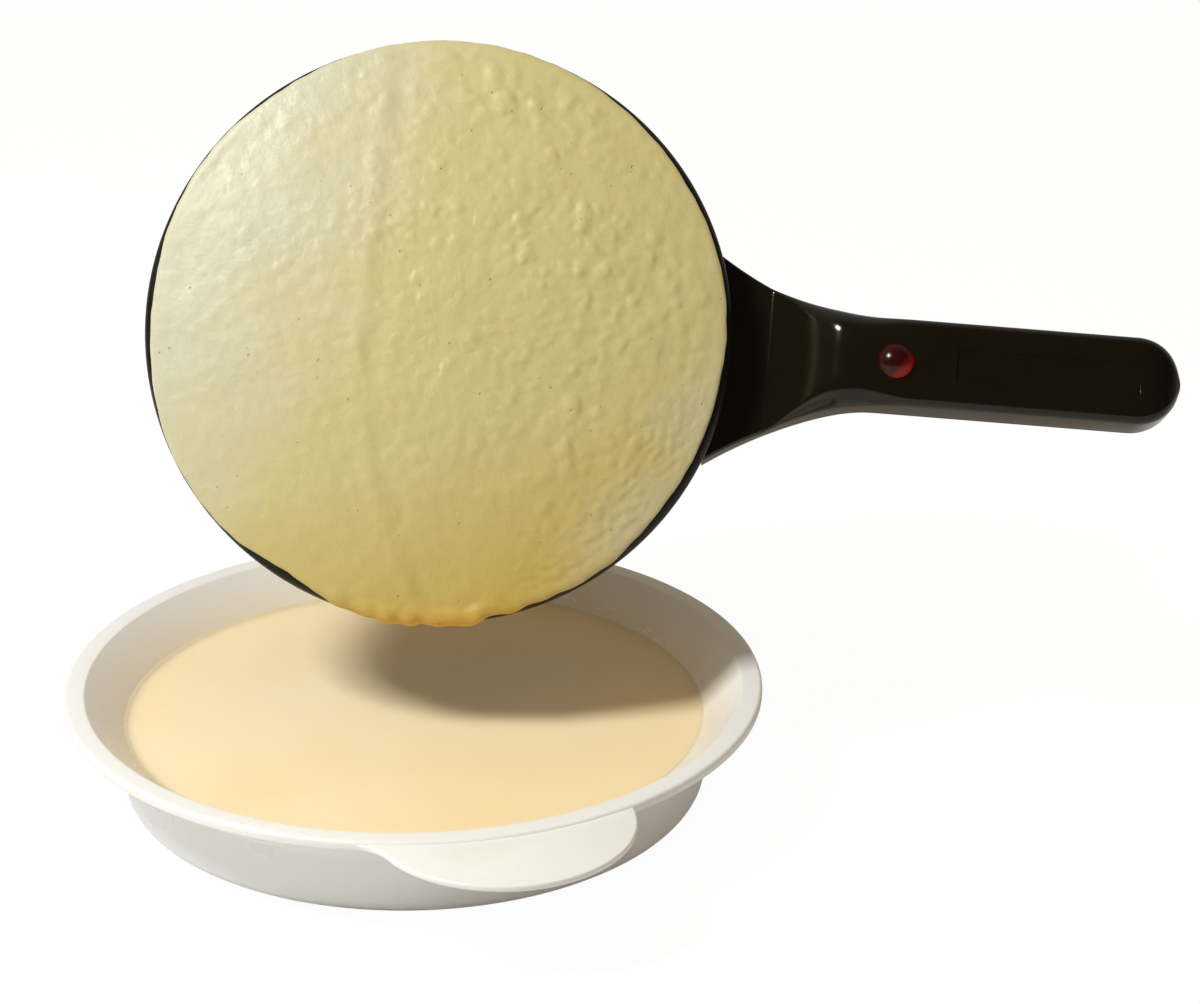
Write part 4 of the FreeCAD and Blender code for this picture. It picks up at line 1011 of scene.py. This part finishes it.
@dataclass
class Handle:
    """The bowl and the handle: the cover above, the housing below.

    A pair of places is where something starts and ends along the handle.
    """

    space: Matrix
    neck_top: float = -14.0
    neck_parting: float = -19.0
    slope_start: float = 113.0
    slope_end: float = 131.5
    slope_top: float = 5.0
    grip_start: float = 139.0
    grip_top: float = 8.0
    grip_parting: float = -8.0
    grip_bottom: float = -22.0
    straight_end: float = 236.0
    half_width: float = 16.0
    root_flare: float = 25.5
    root_flare_curve: float = 1.9
    root_flare_span: tuple[float, float] = (86.0, 151.0)
    parting_rise: tuple[float, float] = (109.0, 145.0)
    bottom_rise: tuple[float, float] = (86.0, 153.0)
    neck_round: float = 1.4
    shoulder_round: float = 8.5
    shoulder_swell: tuple[float, float] = (113.0, 134.5)
    shoulder_settle: tuple[float, float] = (139.0, 161.0)
    foot_blend: float = 0.9
    slope_blend: float = 4.0
    slope_blend_span: tuple[float, float] = (117.0, 127.5)
    edge_round: float = 3.6
    belly_round: float = 7.0
    inset_start: float = 175.5
    inset_end: float = 238.0
    inset_half: float = 5.7
    inset_depth: float = 0.5
    inset_corner: float = 2.0
    inset_slant: float = 0.25
    cover_draft: float = 5.0
    belly_draft: float = 8.0
    belly_draft_span: tuple[float, float] = (112.0, 150.0)
    neck_draft: float = 0.5
    tip_fall: float = 0.45
    parting_lip: float = 0.35
    seam: float = 0.12
    cover_start: float = 92.0
    housing_start: float = 93.0
    bowl_wall: float = 2.4
    bowl_top_radius: float = 96.0
    bowl_waist_radius: float = 95.2
    bowl_waist_depth: float = 19.0
    bowl_waist_round: float = 12.0
    bowl_waist_inner_round: float = 10.0
    bowl_heel_radius: float = 86.0
    bowl_heel_round: float = 7.0
    bowl_edge_round: float = 0.4
    bowl_depth: float = 35.0
    bowl_rim: float = -4.8
    socket_radius: float = 20.1
    lamp_x: float = 155.0
    lens_radius: float = 6.0
    lens_rise: float = 3.4
    lens_neck: float = 5.0
    lens_foot: float = 2.6
    lens_hollow: float = 2.9

    def width_at(self, x: float) -> float:
        """Half the handle's width at its parting line."""
        start, end = self.root_flare_span
        flare = max(0.0, (end - x) / (end - start))
        return self.half_width + self.root_flare * flare ** self.root_flare_curve

    def parting_at(self, x: float) -> float:
        """Height of the parting line."""
        rise = smooth_step(x, *self.parting_rise)
        return self.neck_parting + (self.grip_parting - self.neck_parting) * rise

    def top_at(self, x: float) -> float:
        """Height of the cover's top: the neck, the slope and the grip."""
        if x <= self.slope_start:
            return self.neck_top
        if x <= self.slope_end:
            share = (x - self.slope_start) / (self.slope_end - self.slope_start)
            return self.neck_top + (self.slope_top - self.neck_top) * share
        if x <= self.grip_start:
            share = (x - self.slope_end) / (self.grip_start - self.slope_end)
            return self.grip_top - (self.grip_top - self.slope_top) * (1.0 - share) ** 2
        return self.grip_top

    def eased_top(self, x: float) -> float:
        """The cover's top with the creases of the slope eased."""
        share = smooth_step(x, *self.slope_blend_span)
        reach = self.foot_blend + (self.slope_blend - self.foot_blend) * share
        samples = [self.top_at(x + reach * (i - 3) / 3.0) for i in range(7)]
        return sum(samples) / len(samples)

    def bottom_at(self, x: float) -> float:
        """Height of the housing's underside along the handle."""
        start = 1.0 - self.bowl_depth
        return start + (self.grip_bottom - start) * smooth_step(x, *self.bottom_rise)

    def rounding_at(self, x: float) -> float:
        """The cover's edge rounding, which swells at the top of the slope."""
        swell = smooth_step(x, *self.shoulder_swell)
        rising = self.neck_round + (self.shoulder_round - self.neck_round) * swell
        settle = smooth_step(x, *self.shoulder_settle)
        return rising + (self.edge_round - self.shoulder_round) * settle

    def inset_at(self, x: float) -> tuple[float, float]:
        """Half the width and the depth of the inset along the grip."""
        from_end = min(x - self.inset_start, self.inset_end - x)
        depth = self.inset_depth * smooth_step(from_end, 0.0, 0.4)
        corner = max(0.0, self.inset_corner - max(0.0, from_end))
        cut = self.inset_corner - math.sqrt(self.inset_corner ** 2 - corner ** 2)
        return self.inset_half - cut, depth

    def section(self, x: float, upper: bool) -> list[tuple[float, float, float]]:
        """Draws one cross-section of the handle.

        Args:
            x: where it stands along the handle.
            upper: whether it is the cover's, and not the housing's.

        Returns:
            The points of its closed ring.
        """
        share = max(0.0, x - self.straight_end) / self.half_width
        round_in = math.sqrt(max(0.0, 1.0 - share * share))
        parting = self.parting_at(x) + (self.seam if upper else -self.seam)
        limit = self.eased_top(x) if upper else self.bottom_at(x)
        limit = parting + (limit - parting) * (1.0 - self.tip_fall * share ** 3)
        height = abs(limit - parting)
        steep = smooth_step(x, *self.belly_draft_span)
        belly = self.neck_draft + (self.belly_draft - self.neck_draft) * steep
        draft = math.tan(math.radians(self.cover_draft if upper else belly))
        at_parting = self.width_at(x) * round_in
        at_limit = at_parting - height * draft * round_in
        rounding = self.rounding_at(x) if upper else self.belly_round
        rounding = max(0.3, min(rounding, height * 0.8, at_limit * 0.8))
        lip = self.parting_lip
        edge = parting + (lip if upper else -lip)
        inset = []
        if upper:
            half, depth = self.inset_at(x)
            half = min(half, at_limit - rounding - 0.4)
            foot = half - self.inset_slant
            floor = limit - depth
            inset = [(-half, limit, 0.0), (-foot, floor, 0.0), (foot, floor, 0.0), (half, limit, 0.0)]
        corners = [
            (-at_parting + lip, parting, 0.0),
            (-at_parting, edge, 0.0),
            (-at_limit, limit, rounding),
            *inset,
            (at_limit, limit, rounding),
            (at_parting, edge, 0.0),
            (at_parting - lip, parting, 0.0),
        ]
        return [(x, y, z) for y, z in rounded(corners, 8)]

    def stations(self, low: float) -> list[float]:
        """Where the cross-sections stand, close together at creases and the end."""
        marks = [low]
        while marks[-1] < self.straight_end - 2.0:
            here = marks[-1]
            crease = abs(here - self.slope_start) < 4.0 or abs(here - self.slope_end) < 5.0
            marks.append(here + (0.5 if crease else 2.0))
        for i in range(15):
            turn = math.pi / 2.0 * i / 14.0
            marks.append(self.straight_end + self.half_width * 0.995 * math.sin(turn))
        for i in range(11):
            marks += [self.inset_start + 0.22 * i, self.inset_end - 0.22 * i]
        marks.sort()
        return marks[:1] + [x for last, x in zip(marks, marks[1:]) if x - last > 0.02]

    def lofted(self, upper: bool, low: float) -> bmesh.types.BMesh:
        """Bridges the cross-sections from low to the handle's tip."""
        bm = bmesh.new()
        previous: list[bmesh.types.BMEdge] = []
        first: list[bmesh.types.BMVert] = []
        verts: list[bmesh.types.BMVert] = []
        for x in self.stations(low):
            verts = [bm.verts.new(co) for co in self.section(x, upper)]
            edges = [bm.edges.new(pair) for pair in zip(verts, verts[1:] + verts[:1])]
            if previous:
                bmesh.ops.bridge_loops(bm, edges=previous + edges)
            else:
                first = verts
            previous = edges
        bm.faces.new(first[::-1])
        bm.faces.new(verts)
        return bm

    def bowl(self) -> bmesh.types.BMesh:
        """The round bowl, open above where the plate closes it."""
        wall = self.bowl_wall
        floor = wall - self.bowl_depth
        edge = self.bowl_edge_round
        corners = [
            (self.socket_radius, floor, 0.0),
            (self.socket_radius, -self.bowl_depth, edge),
            (self.bowl_heel_radius, -self.bowl_depth, self.bowl_heel_round),
            (self.bowl_waist_radius, -self.bowl_waist_depth, self.bowl_waist_round),
            (self.bowl_top_radius, self.bowl_rim, edge),
            (self.bowl_top_radius - wall, self.bowl_rim, edge),
            (self.bowl_waist_radius - wall, -self.bowl_waist_depth, self.bowl_waist_inner_round),
            (self.bowl_heel_radius - wall, floor, self.bowl_heel_round - wall),
            (self.socket_radius, floor, 0.0),
        ]
        return turned(rounded(corners), 240)

    def lens(self) -> bmesh.types.BMesh:
        """The lamp's domed lens, with a hollow for the bulb."""
        top = self.grip_top
        low = top - self.lens_foot
        cap = (self.lens_radius ** 2 + self.lens_rise ** 2) / (2.0 * self.lens_rise)
        end = math.degrees(math.asin(self.lens_radius / cap))
        profile = arc_points((0.0, top + 0.1 + self.lens_rise - cap), cap, 0.0, end, 14)
        profile += [(self.lens_neck, top + 0.05), (self.lens_neck, low), (self.lens_hollow, low)]
        profile += [(self.lens_hollow, top - 0.4), (self.lens_hollow - 0.7, top - 0.1), (0.0, top)]
        bm = turned(profile, 64)
        bmesh.ops.translate(bm, verts=bm.verts, vec=(self.lamp_x, 0.0, 0.0))
        return bm

    def build(self) -> None:
        """Makes the bowl, the handle's two halves and the lens."""
        shop = Workshop(self.space, Body.PAN)
        housing = self.lofted(False, self.housing_start)
        cover = self.lofted(True, self.cover_start)
        lamp = self.space @ Vector((self.lamp_x, 0.0, self.grip_top + 2.0))
        red = replace(Finishes.lens, centre=tuple(lamp))
        shop.finish(self.bowl(), "housing_bowl", "black_housing", Finishes.housing, ["lower_housing"])
        shop.finish(housing, "housing_handle", "black_housing", Finishes.housing)
        shop.finish(cover, "handle_cover_moulded", "black_handle", Finishes.handle, ["handle_cover"])
        shop.finish(self.lens(), "lamp_lens_dome", "red_lens", red, ["lamp_lens"])


@dataclass
class Studio:
    """A white table and backdrop, soft light and the photograph's camera."""

    focal_pixels: float = 3500.0
    camera_place: tuple[float, float, float] = (63.96, -1090.24, 560.58)
    camera_pitch: float = 22.743
    camera_roll: float = 0.12
    key_from: tuple[float, float, float] = (-0.70, -0.42, 1.0)
    key_distance: float = 1.3
    key_size: float = 0.28
    key_power: float = 17.0
    key_colour: str = "#FAFEFF"
    horizon_colour: str = "#FFF7EC"
    ceiling_colour: str = "#FFE1A9"
    fill_strength: float = 0.37
    mirrored_colour: str = "#FFFBF4"
    mirrored_behind: float = 0.4
    mirrored_in_front: float = 0.03
    paper_colour: str = "#E8E8E8"
    paper_glow: float = 1.04
    paper_glow_seen: float = 0.92
    paper_glow_mirrored: float = 0.14
    subject: tuple[float, float, float] = (0.02, 0.02, 0.12)

    def camera(self) -> None:
        """Sets the camera where the photograph was taken from."""
        data = bpy.data.cameras.new("camera")
        data.sensor_width = 36.0
        data.lens = self.focal_pixels * data.sensor_width / PHOTO_WIDTH
        data.clip_start = 0.01
        camera = bpy.data.objects.new("camera", data)
        bpy.context.scene.collection.objects.link(camera)
        look = Matrix.Rotation(math.radians(90.0 - self.camera_pitch), 4, "X")
        roll = Matrix.Rotation(math.radians(self.camera_roll), 4, "Z")
        camera.matrix_world = Matrix.Translation(Vector(self.camera_place) * MM) @ look @ roll
        bpy.context.scene.camera = camera

    def floor(self) -> None:
        """A white surface that reads as white paper and keeps a soft shadow."""
        bm = bmesh.new()
        bmesh.ops.create_grid(bm, x_segments=1, y_segments=1, size=6.0)
        mesh = bpy.data.meshes.new("studio_floor")
        bm.to_mesh(mesh)
        bm.free()
        floor = bpy.data.objects.new("studio_floor", mesh)
        floor.location.z = -0.0002
        bpy.context.scene.collection.objects.link(floor)
        made = bpy.data.materials.new("paper_white_sweep")
        made.use_nodes = True
        tree = made.node_tree
        tree.nodes.clear()
        paper = add_node(tree, "ShaderNodeBsdfDiffuse", {"Color": linear(self.paper_colour)})
        glow = add_node(tree, "ShaderNodeEmission", {"Color": WHITE, "Strength": self.paper_glow})
        rays = add_node(tree, "ShaderNodeLightPath")
        mirrored = add_node(
            tree, "ShaderNodeMath", {"operation": "MULTIPLY", 1: self.paper_glow_mirrored},
            {0: rays.outputs["Is Glossy Ray"]},
        )
        mix = add_node(
            tree, "ShaderNodeMath", {"operation": "MULTIPLY_ADD", 1: self.paper_glow_seen},
            {0: rays.outputs["Is Camera Ray"], 2: mirrored.outputs[0]},
        )
        blend = add_node(
            tree, "ShaderNodeMixShader", None,
            {0: mix.outputs[0], 1: paper.outputs[0], 2: glow.outputs[0]},
        )
        add_node(tree, "ShaderNodeOutputMaterial", None, {"Surface": blend.outputs[0]})
        mesh.materials.append(made)

    def world(self) -> None:
        """White all round for the camera, softer for the light that it gives."""
        world = bpy.data.worlds.new("studio_world")
        bpy.context.scene.world = world
        world.use_nodes = True
        tree = world.node_tree
        tree.nodes.clear()
        rays = add_node(tree, "ShaderNodeLightPath")
        seen = add_node(
            tree, "ShaderNodeMath", {"operation": "MAXIMUM"},
            {0: rays.outputs["Is Camera Ray"], 1: rays.outputs["Is Transmission Ray"]},
        )
        white = add_node(tree, "ShaderNodeBackground", {"Color": WHITE})
        way = add_node(tree, "ShaderNodeTexCoord")
        axes = add_node(tree, "ShaderNodeSeparateXYZ", None, {"Vector": way.outputs["Generated"]})
        above = add_node(
            tree, "ShaderNodeMapRange",
            {"interpolation_type": "SMOOTHSTEP", "From Min": 0.1, "From Max": 0.8},
            {"Value": axes.outputs["Z"]},
        )
        warmth = add_node(
            tree, "ShaderNodeMix",
            {"data_type": "RGBA", 6: linear(self.horizon_colour), 7: linear(self.ceiling_colour)},
            {0: above.outputs["Result"]},
        )
        soft = add_node(
            tree, "ShaderNodeBackground", {"Strength": self.fill_strength}, {"Color": warmth.outputs[2]}
        )
        settings = {
            "interpolation_type": "SMOOTHSTEP",
            "From Min": -0.2,
            "From Max": 0.6,
            "To Min": self.mirrored_in_front,
            "To Max": self.mirrored_behind,
        }
        behind = add_node(tree, "ShaderNodeMapRange", settings, {"Value": axes.outputs["Y"]})
        mirrored = add_node(
            tree, "ShaderNodeBackground", {"Color": linear(self.mirrored_colour)},
            {"Strength": behind.outputs["Result"]},
        )
        glossy = add_node(
            tree, "ShaderNodeMixShader", None,
            {0: rays.outputs["Is Glossy Ray"], 1: soft.outputs[0], 2: mirrored.outputs[0]},
        )
        mix = add_node(
            tree, "ShaderNodeMixShader", None,
            {0: seen.outputs[0], 1: glossy.outputs[0], 2: white.outputs[0]},
        )
        add_node(tree, "ShaderNodeOutputWorld", None, {"Surface": mix.outputs[0]})

    def key_light(self) -> None:
        """The key, a soft box at the upper left and a little in front."""
        data = bpy.data.lights.new("key_softbox", "AREA")
        data.shape = "SQUARE"
        data.size = self.key_size
        data.energy = self.key_power
        data.color = linear(self.key_colour)[:3]
        lamp = bpy.data.objects.new("key_softbox", data)
        away = Vector(self.key_from).normalized() * self.key_distance
        lamp.location = Vector(self.subject) + away
        lamp.rotation_euler = (-away).to_track_quat("-Z", "Y").to_euler()
        bpy.context.scene.collection.objects.link(lamp)

    def build(self) -> None:
        """Sets up the camera, the floor, the world and the key light."""
        bpy.context.scene.view_settings.view_transform = "Standard"
        self.camera()
        self.floor()
        self.world()
        self.key_light()


def dress_carried(frame: dict) -> None:
    """Gives every node of the frame that still shows its own finish.
    """
    finishes = {name: finish for finish, names in CARRIED.items() for name in names}
    for name, node in frame["nodes"].items():
        if node.hide_render:
            continue
        finish = finishes[name]
        node.data.materials.clear()
        node.data.materials.append(finish.material())
        LOG.info("%s: carried over as %s", name, finish.name)


def main() -> None:
    """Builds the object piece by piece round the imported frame."""
    logging.basicConfig(level=logging.INFO, format="%(message)s")
    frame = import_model()
    space = PanSpace().matrix()
    BatterDish().build()
    CookingPlate(space).build()
    Handle(space).build()
    dress_carried(frame)
    Studio().build()


if __name__ == "__main__":
    main()
